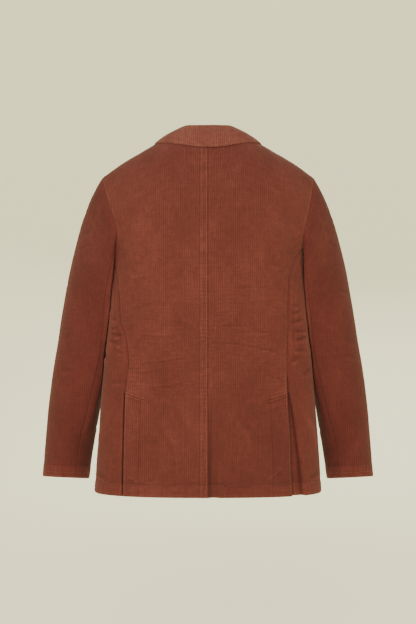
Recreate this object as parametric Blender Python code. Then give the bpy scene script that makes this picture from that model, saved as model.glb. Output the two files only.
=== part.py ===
"""Corduroy jacket, filled out as if worn: panels, sleeves, collar, lapels and buttons as thin walls.

Metres, +Z up. The back faces -Y, the front +Y, and the wearer's right side is +X.
The origin is the middle of the neck opening, where the wearer's shoulders carry the jacket.
"""

import math
from collections import namedtuple

import bpy
import numpy as np
from mathutils import Matrix, Vector
from mathutils.kdtree import KDTree

for old in list(bpy.data.objects):
    bpy.data.objects.remove(old, do_unlink=True)

# ---------------------------------------------------------------- driving dimensions
WALL = 0.0020            # corduroy, pile included
COLLAR_WALL = 0.0022     # upper and under collar together
LAPEL_WALL = 0.0024      # front and facing together
SEAM_GAP = 0.0003        # between two pieces at a seam
LAYER_GAP = 0.0008       # between a piece and the one it lies on
SEAM_RAISE = 0.0010      # how far the collar's end stays above the lapel's top edge

HEM_Z = -0.720           # jacket length below the neck point
NECK_HALF = 0.070        # half width of the neck opening at the shoulder seam
NECK_BACK = 0.060        # how far the back neck curve reaches behind the shoulder seam
SHOULDER_X = 0.2226      # shoulder point, half of 445 mm across the shoulders
BACK_POWER = 2.5         # superellipse power of the horizontal sections at the back
DOME_Z = -0.250          # above this height the sections close in towards the shoulder line
DOME_POWER = 2.2         # superellipse power of that closing curve

VENT_TOP = -0.508        # the side vents are 212 mm long
VENT_UNDERLAP = 0.036    # width of the side panel's extension under the back
STRIP_WIDTH = 0.0156     # lapped strip beside the centre-back seam
STRIP_RISE = 0.0009

FRONT_OVERLAP = 0.018    # each front passes the centre front by this much
BREAK_Z = -0.300         # where the lapels break, at the upper button
CUTAWAY_Z = -0.600       # below this the front edges curve away
CUTAWAY_X = 0.050
GORGE_Z = -0.018         # height of the gorge seam on the roll line
GORGE_SHARE = 0.62       # share of the lapel's top edge that the collar's end meets

BUTTON_RADIUS = 0.010
BUTTON_THICK = 0.0036
BUTTON_HEIGHTS = {"button_upper": -0.335, "button_lower": -0.445}

# ---------------------------------------------------------------- tables
Body = namedtuple("Body", "z half_width back_depth front_depth widest_y front_power")
BODY = [
    Body(-0.720, 0.2375, 0.1300, 0.1120, -0.022, 2.4),
    Body(-0.660, 0.2330, 0.1270, 0.1110, -0.027, 2.3),
    Body(-0.600, 0.2285, 0.1230, 0.1100, -0.031, 2.2),
    Body(-0.520, 0.2222, 0.1170, 0.1090, -0.034, 2.2),
    Body(-0.450, 0.2165, 0.1125, 0.1085, -0.035, 2.2),
    Body(-0.380, 0.2085, 0.1140, 0.1110, -0.034, 2.2),
    Body(-0.320, 0.2045, 0.1200, 0.1160, -0.030, 2.2),
    Body(-0.262, 0.2045, 0.1265, 0.1210, -0.018, 2.3),
    Body(-0.210, 0.2165, 0.1290, 0.1230, 0.000, 2.5),
    Body(-0.180, 0.2265, 0.1300, 0.1235, 0.000, 2.5),
    Body(-0.110, 0.2330, 0.1300, 0.1220, 0.000, 2.5),
    Body(-0.060, 0.2400, 0.1300, 0.1200, 0.000, 2.5),
    Body(0.050, 0.2500, 0.1300, 0.1180, 0.000, 2.5),
]

Shoulder = namedtuple("Shoulder", "x z")
SHOULDER = [
    Shoulder(0.000, 0.0350),
    Shoulder(0.040, 0.0330),
    Shoulder(0.080, 0.0254),
    Shoulder(0.108, 0.0110),
    Shoulder(0.138, -0.0060),
    Shoulder(0.180, -0.0310),
    Shoulder(0.2226, -0.0615),
    Shoulder(0.250, -0.0850),
]

Seams = namedtuple("Seams", "z back_left back_right front")
SEAMS = [
    Seams(-0.720, 0.1735, 0.1715, 0.2120),
    Seams(-0.600, 0.1720, 0.1680, 0.2030),
    Seams(-0.508, 0.1690, 0.1630, 0.1950),
    Seams(-0.450, 0.1630, 0.1620, 0.1900),
    Seams(-0.395, 0.1680, 0.1635, 0.1870),
    Seams(-0.360, 0.1800, 0.1640, 0.1860),
    Seams(-0.290, 0.1835, 0.1650, 0.1860),
    Seams(-0.262, 0.1885, 0.1690, 0.1865),
    Seams(-0.240, 0.1980, 0.1765, 0.1880),
    Seams(-0.228, 0.1980, 0.1850, 0.1880),
    Seams(-0.215, 0.1980, 0.1965, 0.1880),
]

Armhole = namedtuple("Armhole", "z back_left back_right front")
ARMHOLE = [
    Armhole(-0.240, 0.1980, 0.1965, 0.1880),
    Armhole(-0.230, 0.1960, 0.1965, 0.1875),
    Armhole(-0.215, 0.1930, 0.1965, 0.1840),
    Armhole(-0.180, 0.1870, 0.1980, 0.1820),
    Armhole(-0.148, 0.1950, 0.2056, 0.1870),
    Armhole(-0.111, 0.2080, 0.2134, 0.2000),
    Armhole(-0.085, 0.2170, 0.2190, 0.2130),
    Armhole(-0.0615, 0.2226, 0.2226, 0.2226),
]
JOIN_BACK = {"left": -0.240, "right": -0.215}   # where the side-back seam meets the armhole
JOIN_FRONT = -0.235
UNDERARM_Z = -0.262

LOWER_ROWS = [-0.720, -0.690, -0.645, -0.600, -0.555, -0.522, VENT_TOP]
NEAR_COLUMNS = {         # columns beside the centre-back seam: the lapped strip, the fold
    "left": [0.0, 0.0016, STRIP_WIDTH - 0.0008, STRIP_WIDTH + 0.0008],
    "right": [0.0, 0.007, 0.013, 0.021],
}
UPPER_ROWS = 8           # rows from the vent top to the armhole
DOME_ROWS = 9            # rows from the armhole's foot to the shoulder seam
SHOULDER_COLUMNS = 7     # columns along a shoulder seam
SIDE_COLUMNS = 7
CROWD = 0.85             # below one, the front's columns crowd towards the side

Vent = namedtuple("Vent", "z crease depth")     # crease: its distance from the back's edge
VENTS = {
    "left": [Vent(-0.720, 0.010, 0.0034), Vent(VENT_TOP, 0.010, 0.0034)],
    "right": [
        Vent(-0.720, 0.032, 0.0150),
        Vent(-0.660, 0.026, 0.0130),
        Vent(-0.600, 0.018, 0.0100),
        Vent(-0.522, 0.012, 0.0050),
        Vent(VENT_TOP, 0.010, 0.0034),
    ],
}

Fold = namedtuple("Fold", "x0 z0 x1 z1 width depth")   # troughs of the back, depth inwards
BACK_FOLDS = [
    Fold(0.0130, -0.520, 0.0130, -0.740, 0.0060, 0.0050),
    Fold(0.1880, -0.120, 0.1730, -0.215, 0.0100, 0.0040),
    Fold(-0.1720, -0.150, -0.1760, -0.235, 0.0110, 0.0040),
]

Sleeve = namedtuple("Sleeve", "z x y half_width half_depth lean")
SLEEVE = [
    Sleeve(-0.305, 0.2525, 0.026, 0.0503, 0.0700, 0.15),
    Sleeve(-0.360, 0.2600, 0.030, 0.0530, 0.0670, 0.14),
    Sleeve(-0.405, 0.2660, 0.033, 0.0545, 0.0640, 0.14),
    Sleeve(-0.480, 0.2775, 0.040, 0.0560, 0.0590, 0.13),
    Sleeve(-0.565, 0.2905, 0.050, 0.0545, 0.0530, 0.11),
    Sleeve(-0.630, 0.2995, 0.058, 0.0520, 0.0490, 0.08),
    Sleeve(-0.697, 0.3080, 0.067, 0.0500, 0.0445, 0.05),
]
CAP_ROWS = 8
ARM_ROWS = 12

Leave = namedtuple("Leave", "turn x y z pull settle")   # how the cloth leaves the armhole
CAP = [
    Leave(0.000, 0.58, 0.00, -0.81, 0.195, 0.240),
    Leave(0.125, 0.66, -0.12, -0.74, 0.150, 0.180),
    Leave(0.250, 0.74, -0.30, -0.60, 0.100, 0.120),
    Leave(0.375, 0.80, -0.05, -0.60, 0.050, 0.070),
    Leave(0.500, 0.97, 0.00, -0.25, 0.035, 0.040),
    Leave(0.625, 0.90, 0.20, -0.35, 0.060, 0.070),
    Leave(0.750, 0.66, 0.30, -0.68, 0.100, 0.120),
    Leave(0.875, 0.63, 0.12, -0.76, 0.150, 0.180),
]
HIND_SEAM_TURN = 0.33    # turn: 0 outermost, 0.25 back, 0.5 next to the body, 0.75 front
FRONT_SEAM_TURN = 0.70

Collar = namedtuple("Collar", "neck_x neck_y fold_x fold_y fold_z edge_x edge_y roll")
COLLAR = [
    Collar(0.0000, -0.0592, 0.0000, -0.0555, 0.0395, 0.0000, -0.0745, 0.0040),
    Collar(0.0292, -0.0540, 0.0260, -0.0515, 0.0398, 0.0410, -0.0700, 0.0040),
    Collar(0.0524, -0.0394, 0.0465, -0.0385, 0.0405, 0.0790, -0.0550, 0.0040),
    Collar(0.0674, -0.0186, 0.0590, -0.0200, 0.0385, 0.1030, -0.0320, 0.0040),
    Collar(0.0715, 0.0020, 0.0620, 0.0020, 0.0355, 0.1130, 0.0000, 0.0040),
    Collar(0.0702, 0.0260, 0.0645, 0.0285, 0.0290, 0.1195, 0.0290, 0.0037),
    Collar(0.0665, 0.0490, 0.0646, 0.0540, 0.0165, 0.1235, 0.0560, 0.0033),
    Collar(0.0610, 0.0705, 0.0609, 0.0751, -0.0121, 0.1085, 0.0735, 0.0028),
]
COLLAR_STEPS = 12

Lapel = namedtuple("Lapel", "z width drop")
LAPEL = [
    Lapel(-0.300, 0.004, 0.000),
    Lapel(-0.250, 0.026, 0.000),
    Lapel(-0.200, 0.043, 0.003),
    Lapel(-0.150, 0.056, 0.008),
    Lapel(-0.100, 0.067, 0.018),
    Lapel(-0.060, 0.074, 0.030),
    Lapel(GORGE_Z, 0.078, 0.044),
]
Foot = namedtuple("Foot", "z slope")   # height at the roll line, and its fall towards the outer edge
LAPEL_FOOT = {"left": Foot(-0.290, 0.0), "right": Foot(-0.229, 1.75)}
LAPEL_ROWS = 11

SIDES = {"left": -1.0, "right": 1.0}


# ---------------------------------------------------------------- smooth curves through tables
def curve(table, key, value):
    """A monotone cubic through two columns of a table, held at its end values beyond the ends."""
    rows = sorted(table, key=lambda row: getattr(row, key))
    xs = np.array([getattr(row, key) for row in rows])
    ys = np.array([getattr(row, value) for row in rows])
    step = np.diff(xs)
    slope = np.diff(ys) / step
    tangent = np.zeros(len(xs))
    for i in range(1, len(xs) - 1):
        if slope[i - 1] * slope[i] > 0:
            w1 = 2 * step[i] + step[i - 1]
            w2 = step[i] + 2 * step[i - 1]
            tangent[i] = (w1 + w2) / (w1 / slope[i - 1] + w2 / slope[i])
    tangent[0] = slope[0]
    tangent[-1] = slope[-1]

    def at(x):
        x = np.clip(np.asarray(x, dtype=float), xs[0], xs[-1])
        i = np.clip(np.searchsorted(xs, x, side="right") - 1, 0, len(step) - 1)
        t = (x - xs[i]) / step[i]
        return (
            ys[i] * (1 + 2 * t) * (1 - t) ** 2
            + tangent[i] * step[i] * t * (1 - t) ** 2
            + ys[i + 1] * t * t * (3 - 2 * t)
            + tangent[i + 1] * step[i] * t * t * (t - 1)
        )

    return at


def catmull_rom(p0, p1, p2, p3, t):
    """The smooth curve from p1 to p2 that heads the way its neighbours lie."""
    slope = p2 - p0
    bend = 2 * p0 - 5 * p1 + 4 * p2 - p3
    turn = 3 * p1 - p0 - 3 * p2 + p3
    return 0.5 * (2 * p1 + slope * t + bend * t**2 + turn * t**3)


def smoothstep(t):
    t = np.clip(t, 0.0, 1.0)
    return t * t * (3.0 - 2.0 * t)


half_width = curve(BODY, "z", "half_width")
depth = {-1: curve(BODY, "z", "back_depth"), 1: curve(BODY, "z", "front_depth")}
widest_y = curve(BODY, "z", "widest_y")
front_power = curve(BODY, "z", "front_power")
ridge = curve(SHOULDER, "x", "z")
back_seam = {side: curve(SEAMS, "z", "back_" + side) for side in SIDES}
front_seam = curve(SEAMS, "z", "front")
back_armhole = {side: curve(ARMHOLE, "z", "back_" + side) for side in SIDES}
front_armhole = curve(ARMHOLE, "z", "front")


# ---------------------------------------------------------------- the body's surface
def dome(x, z):
    """How far the sections have closed in at this place: 1 below the dome, 0 on the shoulder line."""
    t = np.clip((z - DOME_Z) / (ridge(np.abs(x)) - DOME_Z), 0.0, 1.0)
    return np.maximum(1.0 - t**DOME_POWER, 0.0) ** (1.0 / DOME_POWER)


def back_fold(x, z):
    """Depth of the back's folds at this place."""
    total = np.zeros(np.shape(x))
    for f in BACK_FOLDS:
        run = np.array([f.x1 - f.x0, f.z1 - f.z0])
        along = ((x - f.x0) * run[0] + (z - f.z0) * run[1]) / (run @ run)
        across = ((x - f.x0) * run[1] - (z - f.z0) * run[0]) / math.sqrt(run @ run)
        taper = smoothstep(2.5 * along) * smoothstep(4.0 * (1.15 - along))
        total = total + f.depth * taper * np.clip(1.0 - (across / (2.0 * f.width)) ** 2, 0.0, 1.0) ** 3
    return total


def section_shape(s, z, face):
    """A section's depth, as a share of its greatest, at a share s of its half width."""
    power = BACK_POWER if face < 0 else front_power(z)
    return (1.0 - np.clip(s, 0.0, 1.0) ** power) ** (1.0 / power)


def body_y(x, z, face):
    """Y of the body's outer surface at x, z; face is -1 on the back and 1 on the front."""
    x = np.asarray(x, dtype=float)
    reach = face * depth[face](z) - widest_y(z)
    y = widest_y(z) + reach * section_shape(np.abs(x) / half_width(z), z, face) * dome(x, z)
    if face < 0:
        y = y + back_fold(x, z)
    return y


def body_z(x, y):
    """Height of the shoulders' surface above a place in plan."""
    face = -1 if y < 0 else 1
    z = 0.0
    for _ in range(12):
        reach = float(depth[face](z) * section_shape(abs(x) / half_width(z), z, face))
        h = min(abs(y) / reach, 1.0)
        t = (1.0 - h**DOME_POWER) ** (1.0 / DOME_POWER)
        z = DOME_Z + t * (float(ridge(abs(x))) - DOME_Z)
    return z


def body_normal(x, y, z):
    """Outward normal of the body's surface, from its neighbours in plan or in elevation."""
    e = 0.001
    if abs(y) < 0.085 and z > -0.1:
        du = np.array([2 * e, 0.0, body_z(x + e, y) - body_z(x - e, y)])
        dv = np.array([0.0, 2 * e, body_z(x, y + e) - body_z(x, y - e)])
        n = np.cross(du, dv)
    else:
        face = -1 if y < 0 else 1
        du = np.array([2 * e, float(body_y(x + e, z, face) - body_y(x - e, z, face)), 0.0])
        dv = np.array([0.0, float(body_y(x, z + e, face) - body_y(x, z - e, face)), 2 * e])
        n = np.cross(du, dv) * -face
    return n / np.linalg.norm(n)


def section(z, samples=1200):
    """The right half of a horizontal section: points from centre back to centre front, arc lengths."""
    turn = np.linspace(0.0, math.pi, samples)
    power = np.where(turn < math.pi / 2, BACK_POWER, front_power(z))
    x = half_width(z) * np.abs(np.sin(turn)) ** (2.0 / power)
    reach = np.where(turn < math.pi / 2, -depth[-1](z), depth[1](z)) - widest_y(z)
    y = widest_y(z) + reach * np.abs(np.cos(turn)) ** (2.0 / power) * dome(x, z)
    arc = np.concatenate([[0.0], np.cumsum(np.hypot(np.diff(x), np.diff(y)))])
    return x, y, arc


def side_point(z, x_back, x_front, place, inset=0.0):
    """A point of the side, at a distance from its back seam: metres past the seam where place is
    a number, and (metres, share of the width) added up where it is a pair."""
    x, y, arc = section(z)
    widest = int(np.argmax(x))
    s_back = np.interp(x_back, x[: widest + 1], arc[: widest + 1])
    s_front = np.interp(-x_front, -x[widest:], arc[widest:])
    metres, share = place if isinstance(place, tuple) else (place, 0.0)
    s = s_back + metres + share * (s_front - s_back)
    e = 0.002
    tangent = np.array([np.interp(s + e, arc, x) - np.interp(s - e, arc, x)])
    tangent = np.append(tangent, np.interp(s + e, arc, y) - np.interp(s - e, arc, y))
    tangent /= np.linalg.norm(tangent)
    px, py = np.interp(s, arc, x), np.interp(s, arc, y)
    return np.array([px - inset * tangent[1], py + inset * tangent[0], z])


# ---------------------------------------------------------------- cloth walls
class Cloth:
    """A piece of cloth: points on its outer face, and quads wound so that they face outwards."""

    def __init__(self, name, points, quads, wall, tone):
        self.name = name
        self.points = np.array(points, dtype=float)
        self.quads = quads
        self.wall = wall
        self.tone = tone
        corner = self.points[np.array(quads)]
        face = np.cross(corner[:, 2] - corner[:, 0], corner[:, 3] - corner[:, 1])
        self.normals = np.zeros_like(self.points)
        for quad, n in zip(quads, face):
            self.normals[list(quad)] += n
        self.normals /= np.linalg.norm(self.normals, axis=1)[:, None]
        self.edge_inward(face)

    def edge_inward(self, face):
        """Boundary edges, and at each boundary point the way into the piece."""
        used = {}
        for q, quad in enumerate(self.quads):
            for k in range(4):
                used[(quad[k], quad[(k + 1) % 4])] = q
        self.rim = [(a, b) for (a, b) in used if (b, a) not in used]
        ways = {}
        for a, b in self.rim:
            run = self.points[b] - self.points[a]
            way = np.cross(face[used[(a, b)]], run)
            way /= np.linalg.norm(way)
            ways.setdefault(a, []).append(way)
            ways.setdefault(b, []).append(way)
        self.inward = {}
        for i, (w1, w2) in ways.items():
            self.inward[i] = (w1 + w2) / max(1.0 + w1 @ w2, 0.4)

    def build(self, normals, shift):
        """Thicken inwards. Diagonals are chosen before the shift, so two pieces at a seam agree."""
        count = len(self.points)
        points = np.vstack([self.points, self.points - normals * self.wall])
        halves = halve(points, self.quads)
        faces = halves + [tuple(i + count for i in reversed(t)) for t in halves]
        faces += halve(points, [(b, a, a + count, b + count) for a, b in self.rim])
        add_object(self.name, points + np.vstack([shift, shift]), faces, self.tone)


def halve(points, quads):
    """Each quad as two triangles, cut along its shorter diagonal."""
    halves = []
    for a, b, c, d in quads:
        if np.linalg.norm(points[a] - points[c]) <= np.linalg.norm(points[b] - points[d]):
            halves += [(a, b, c), (a, c, d)]
        else:
            halves += [(a, b, d), (b, c, d)]
    return halves


def add_object(name, points, faces, tone):
    mesh = bpy.data.meshes.new(name)
    mesh.from_pydata([tuple(p) for p in points], [], faces)
    mesh.update()
    mesh.shade_smooth()
    mesh.set_sharp_from_angle(angle=math.radians(40))
    mesh.materials.append(material(name, tone))
    piece = bpy.data.objects.new(name, mesh)
    bpy.context.scene.collection.objects.link(piece)
    return piece


def material(name, tone):
    colour, roughness = tone
    made = bpy.data.materials.new("finish_" + name)
    made.use_nodes = True
    shader = made.node_tree.nodes["Principled BSDF"]
    shader.inputs["Base Color"].default_value = (*colour, 1.0)
    shader.inputs["Roughness"].default_value = roughness
    shader.inputs["Metallic"].default_value = 0.0
    return made


def grid_quads(rows, columns, start=0):
    quads = []
    for r in range(rows - 1):
        for c in range(columns - 1):
            a = start + r * columns + c
            quads.append((a, a + 1, a + columns + 1, a + columns))
    return quads


def cloth_grid(name, grid, outward, wall=WALL, tone=None):
    """A piece from a grid of points; outward gives the rough way out at its middle."""
    grid = np.array(grid)
    rows, columns = grid.shape[:2]
    r, c = rows // 2, columns // 2
    n = np.cross(grid[r, c] - grid[r, c - 1], grid[r, c] - grid[r - 1, c])
    if n @ np.array(outward) < 0:
        grid = grid[:, ::-1]
    return Cloth(name, grid.reshape(-1, 3), grid_quads(rows, columns), wall, tone or RUST)


def sew(pieces):
    """Give touching edges one normal, part them by the seam gap, and build every wall."""
    total = sum(len(p.inward) for p in pieces)
    tree = KDTree(total)
    owners = []
    for k, piece in enumerate(pieces):
        for i in piece.inward:
            tree.insert(piece.points[i], len(owners))
            owners.append((k, i))
    tree.balance()
    for k, piece in enumerate(pieces):
        normals = piece.normals.copy()
        shift = np.zeros_like(piece.points)
        for i, way in piece.inward.items():
            met = [owners[found[1]] for found in tree.find_range(piece.points[i], 2e-5)]
            met = [(other, j) for other, j in met if other != k]
            n = piece.normals[i] + sum((pieces[o].normals[j] for o, j in met), np.zeros(3))
            normals[i] = n / np.linalg.norm(n)
            widen = 1.0
            for other, j in met:
                facing = pieces[other].inward[j]
                across = way / np.linalg.norm(way) - facing / np.linalg.norm(facing)
                share = (way / np.linalg.norm(way)) @ across / np.linalg.norm(across)
                widen = max(widen, 1.0 / max(share, 0.4))
            shift[i] = way * widen * SEAM_GAP * 0.5
        piece.build(normals, shift)


RUST = ((0.195, 0.050, 0.024), 0.9)
RUST_DEEP = ((0.165, 0.042, 0.021), 0.9)
HORN = ((0.055, 0.026, 0.016), 0.45)


# ---------------------------------------------------------------- rows shared by the body's panels
def lower_rows(top):
    """Heights from the hem to where a seam meets the armhole."""
    return np.concatenate([LOWER_ROWS, VENT_TOP + upper_fractions() * (top - VENT_TOP)])


def upper_fractions():
    """Rows between the vent's top and the armhole, closer together towards the armhole."""
    return 1.0 - (1.0 - np.linspace(0.0, 1.0, UPPER_ROWS + 1)[1:]) ** 1.25


def dome_fractions():
    return np.sin(np.linspace(0.0, math.pi / 2, DOME_ROWS + 1))[1:]


def neck_height(x):
    """Height of the back neck curve on the body's surface."""
    if abs(x) >= NECK_HALF:
        return float(ridge(abs(x)))
    return body_z(abs(x), -NECK_BACK * math.sqrt(1.0 - (x / NECK_HALF) ** 2) - 1e-9)


def edge_on_row(join, fraction, edge_x, top_z):
    """Where a row of the dome meets a panel's edge line, found by a few repeats."""
    x = float(edge_x(join))
    for _ in range(30):
        z = join + fraction * (top_z(x) - join)
        x = float(edge_x(z))
    return x, z


# ---------------------------------------------------------------- back
def back_panel(side):
    sign = SIDES[side]
    join = JOIN_BACK[side]
    near = NEAR_COLUMNS[side]
    neck = (NECK_HALF - near[-1]) / (SHOULDER_X - near[-1])
    far = np.concatenate([np.linspace(0.0, neck, 3)[1:], np.linspace(neck, 1.0, SHOULDER_COLUMNS + 1)[1:]])

    def row_x(edge):
        return near + [near[-1] + f * (edge - near[-1]) for f in far]

    grid = []
    for z in lower_rows(join):
        row = row_x(float(back_seam[side](z)))
        grid.append([(sign * x, float(body_y(sign * x, z, -1)), z) for x in row])
    for fraction in dome_fractions():
        edge, _ = edge_on_row(join, fraction, back_armhole[side], lambda x: float(ridge(x)))
        row = []
        for x in row_x(edge):
            z = join + fraction * (neck_height(x) - join)
            row.append((sign * x, float(body_y(sign * x, z, -1)), z))
        grid.append(row)
    grid = np.array(grid)
    if side == "left":
        grid[:, 1:3, 1] -= STRIP_RISE
    return grid


# ---------------------------------------------------------------- side panels with the vents
def side_top(side, fraction):
    """Height of the armhole's foot across the side panel."""
    dip = 1.0 - abs(2.0 * fraction - 1.0) ** 2.2
    straight = JOIN_BACK[side] + (JOIN_FRONT - JOIN_BACK[side]) * fraction
    lowest = straight + (UNDERARM_Z - straight) * dip
    return lowest


def side_panel(side):
    """The side panel's grid, and the extension that runs under the back below the vent's top."""
    sign = SIDES[side]
    crease = curve(VENTS[side], "z", "crease")
    recess = curve(VENTS[side], "z", "depth")
    grid = []
    for r in range(len(LOWER_ROWS) + UPPER_ROWS):
        if r < len(LOWER_ROWS):
            climb = 0.0
            heights = [LOWER_ROWS[r]] * (SIDE_COLUMNS + 1)
        else:
            climb = float(upper_fractions()[r - len(LOWER_ROWS)])
            tops = [side_top(side, c / SIDE_COLUMNS) for c in range(SIDE_COLUMNS + 1)]
            heights = [VENT_TOP + (top - VENT_TOP) * climb for top in tops]
        x_back, x_front = float(back_seam[side](heights[0])), float(front_seam(heights[-1]))
        row = []
        for c, z in enumerate(heights):
            spread = c / SIDE_COLUMNS
            edge = float(crease(z))
            deep = float(recess(z)) if r < len(LOWER_ROWS) - 1 else 0.0
            beyond = max(c - 2, 0) / (SIDE_COLUMNS - 2)
            metres = [0.0, max(edge - 0.006, 0.5 * edge), edge][min(c, 2)] * (1.0 - beyond)
            place = ((1.0 - climb) * metres, (1.0 - climb) * beyond + climb * spread)
            inset = [deep, 0.85 * deep, 0.0][min(c, 2)]
            row.append(side_point(z, x_back, x_front, place, inset))
        grid.append(row)
    lap = []
    for z in LOWER_ROWS[:-1]:
        deep = float(recess(z))
        row = []
        for part in (1.0, 0.66, 0.33):
            inset = max(deep * (1.0 - 0.6 * part), WALL + LAYER_GAP + 0.0004)
            seam_x, front_x = float(back_seam[side](z)), float(front_seam(z))
            row.append(side_point(z, seam_x, front_x, -VENT_UNDERLAP * part, inset))
        lap.append(row)
    grid, lap = np.array(grid), np.array(lap)
    grid[:, :, 0] *= sign
    lap[:, :, 0] *= sign
    return grid, lap


def side_cloth(side, grid, lap):
    rows, columns = grid.shape[:2]
    points = np.vstack([grid.reshape(-1, 3), lap.reshape(-1, 3)])
    quads = grid_quads(rows, columns)
    lap_start = rows * columns
    lap_rows, lap_columns = lap.shape[:2]
    quads += grid_quads(lap_rows, lap_columns, lap_start)
    for r in range(lap_rows - 1):
        a = lap_start + r * lap_columns + lap_columns - 1
        b = r * columns
        quads.append((a, b, b + columns, a + lap_columns))
    if SIDES[side] < 0:
        quads = [tuple(reversed(q)) for q in quads]
    return Cloth("side_" + side, points, quads, WALL, RUST_DEEP)


# ---------------------------------------------------------------- fronts
def front_edge(z):
    """Distance of the front edge and roll line from the centre front, on the piece's own side."""
    if z >= BREAK_Z:
        t = (z - BREAK_Z) / (float(ridge(NECK_HALF)) - BREAK_Z)
        return -FRONT_OVERLAP + (NECK_HALF + FRONT_OVERLAP) * (t + 0.10 * t * (1.0 - t))
    if z >= CUTAWAY_Z:
        return -FRONT_OVERLAP
    t = (CUTAWAY_Z - z) / (CUTAWAY_Z - HEM_Z)
    return -FRONT_OVERLAP + CUTAWAY_X * (1.0 - math.sqrt(max(1.0 - t**2.2, 0.0)))


def under_inset(side, x):
    """The right front lies inside the left one near the centre front."""
    if side == "left":
        return 0.0
    return (WALL + LAYER_GAP) * float(smoothstep((0.052 - x) / 0.028))


def front_panel(side):
    sign = SIDES[side]
    even = np.linspace(0.0, 1.0, SHOULDER_COLUMNS + 1)
    grid = []

    def place(x, z):
        y = float(body_y(x, z, 1)) - under_inset(side, x)
        return (sign * x, y, z)

    for z in lower_rows(JOIN_FRONT):
        inner, outer = front_edge(z), float(front_seam(z))
        grid.append([place(inner + f * (outer - inner), z) for f in even**CROWD])
    for fraction in dome_fractions():
        inner, _ = edge_on_row(JOIN_FRONT, fraction, front_edge, lambda x: float(ridge(abs(x))))
        outer, _ = edge_on_row(JOIN_FRONT, fraction, front_armhole, lambda x: float(ridge(x)))
        row = []
        for f in even ** (1.0 + (CROWD - 1.0) * (1.0 - fraction)):
            x = inner + f * (outer - inner)
            z = JOIN_FRONT + fraction * (float(ridge(abs(x))) - JOIN_FRONT)
            row.append(place(x, z))
        grid.append(row)
    return np.array(grid)


# ---------------------------------------------------------------- sleeves
def periodic(table, key):
    """A smooth closed curve through a table's column, by turn."""
    turns = np.array([row.turn for row in table])
    values = np.array([getattr(row, key) for row in table])
    count = len(table)

    def at(turn):
        turn = turn % 1.0
        i = int(np.searchsorted(turns, turn, side="right") - 1)
        t = (turn - turns[i]) * count
        p0, p1, p2, p3 = (values[(i + k) % count] for k in (-1, 0, 1, 2))
        return catmull_rom(p0, p1, p2, p3, t)

    return at


def armhole_loop(side, back, side_grid, front):
    """The armhole's points from the shoulder point down the back, along the side and up the front."""
    edge_rows = len(LOWER_ROWS) + UPPER_ROWS
    down = back[edge_rows - 1 :, -1][::-1]
    under = side_grid[-1, 1:]
    up = front[edge_rows:-1, -1]
    return np.vstack([down, under, up])


def sleeve_ring(z, turns, sign):
    """A ring of the sleeve; its plane leans with the arm."""
    x, y = float(sleeve_at["x"](z)), float(sleeve_at["y"](z))
    w, d = float(sleeve_at["half_width"](z)), float(sleeve_at["half_depth"](z))
    lean = float(sleeve_at["lean"](z))
    angle = 2 * math.pi * turns
    ring = np.zeros((len(turns), 3))
    ring[:, 0] = sign * (x + w * np.cos(angle) / math.hypot(1.0, lean))
    ring[:, 1] = y - d * np.sin(angle)
    ring[:, 2] = z + w * np.cos(angle) * lean / math.hypot(1.0, lean) + 0.12 * d * np.sin(angle) * elbow_lean(z)
    return ring


def elbow_lean(z):
    """The rings tip forwards below the elbow, where the arm hangs forwards."""
    return float(smoothstep((-0.42 - z) / 0.15))


sleeve_at = {key: curve(SLEEVE, "z", key) for key in ("x", "y", "half_width", "half_depth", "lean")}
leave_at = {key: periodic(CAP, key) for key in ("x", "y", "z", "pull", "settle")}


def sleeve_grid(side, loop):
    sign = SIDES[side]
    closed = np.vstack([loop, loop[:1]])
    arc = np.concatenate([[0.0], np.cumsum(np.linalg.norm(np.diff(closed, axis=0), axis=1))])
    foot = int(np.argmin(loop[:, 2]))
    turns = np.where(
        arc[:-1] <= arc[foot],
        0.5 * arc[:-1] / arc[foot],
        0.5 + 0.5 * (arc[:-1] - arc[foot]) / (arc[-1] - arc[foot]),
    )
    first = SLEEVE[0].z
    ring = sleeve_ring(first, turns, sign)
    below = sleeve_ring(first - 0.01, turns, sign)
    rows = []
    for v in np.linspace(0.0, 1.0, CAP_ROWS + 1):
        row = []
        for j, turn in enumerate(turns):
            way = np.array([sign * leave_at["x"](turn), leave_at["y"](turn), leave_at["z"](turn)])
            way = way / np.linalg.norm(way) * leave_at["pull"](turn)
            settle = below[j] - ring[j]
            settle = settle / np.linalg.norm(settle) * leave_at["settle"](turn)
            row.append(
                loop[j] * (1 + 2 * v) * (1 - v) ** 2
                + way * v * (1 - v) ** 2
                + ring[j] * v * v * (3 - 2 * v)
                + settle * v * v * (v - 1)
            )
        rows.append(row)
    for z in np.linspace(first, SLEEVE[-1].z, ARM_ROWS + 1)[1:]:
        rows.append(sleeve_ring(z, turns, sign))
    hind = int(np.argmin(np.abs(turns - HIND_SEAM_TURN)))
    fore = int(np.argmin(np.abs(turns - FRONT_SEAM_TURN)))
    grid = np.array(rows)
    under = grid[:, hind : fore + 1]
    top = np.concatenate([grid[:, fore:], grid[:, : hind + 1]], axis=1)
    return top, under


# ---------------------------------------------------------------- collar and lapels
def spline(table, key, t):
    """Catmull-Rom through a column of the collar's table; t runs from 0 to its last row."""
    values = [getattr(row, key) for row in table]
    mirror = -1.0 if key.endswith("_x") else 1.0
    i = min(int(t), len(values) - 2)
    u = t - i
    p0 = values[i - 1] if i > 0 else mirror * values[1]
    p1, p2 = values[i], values[i + 1]
    p3 = values[i + 2] if i + 2 < len(values) else 2 * p2 - p1
    return catmull_rom(p0, p1, p2, p3, u)


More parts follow.
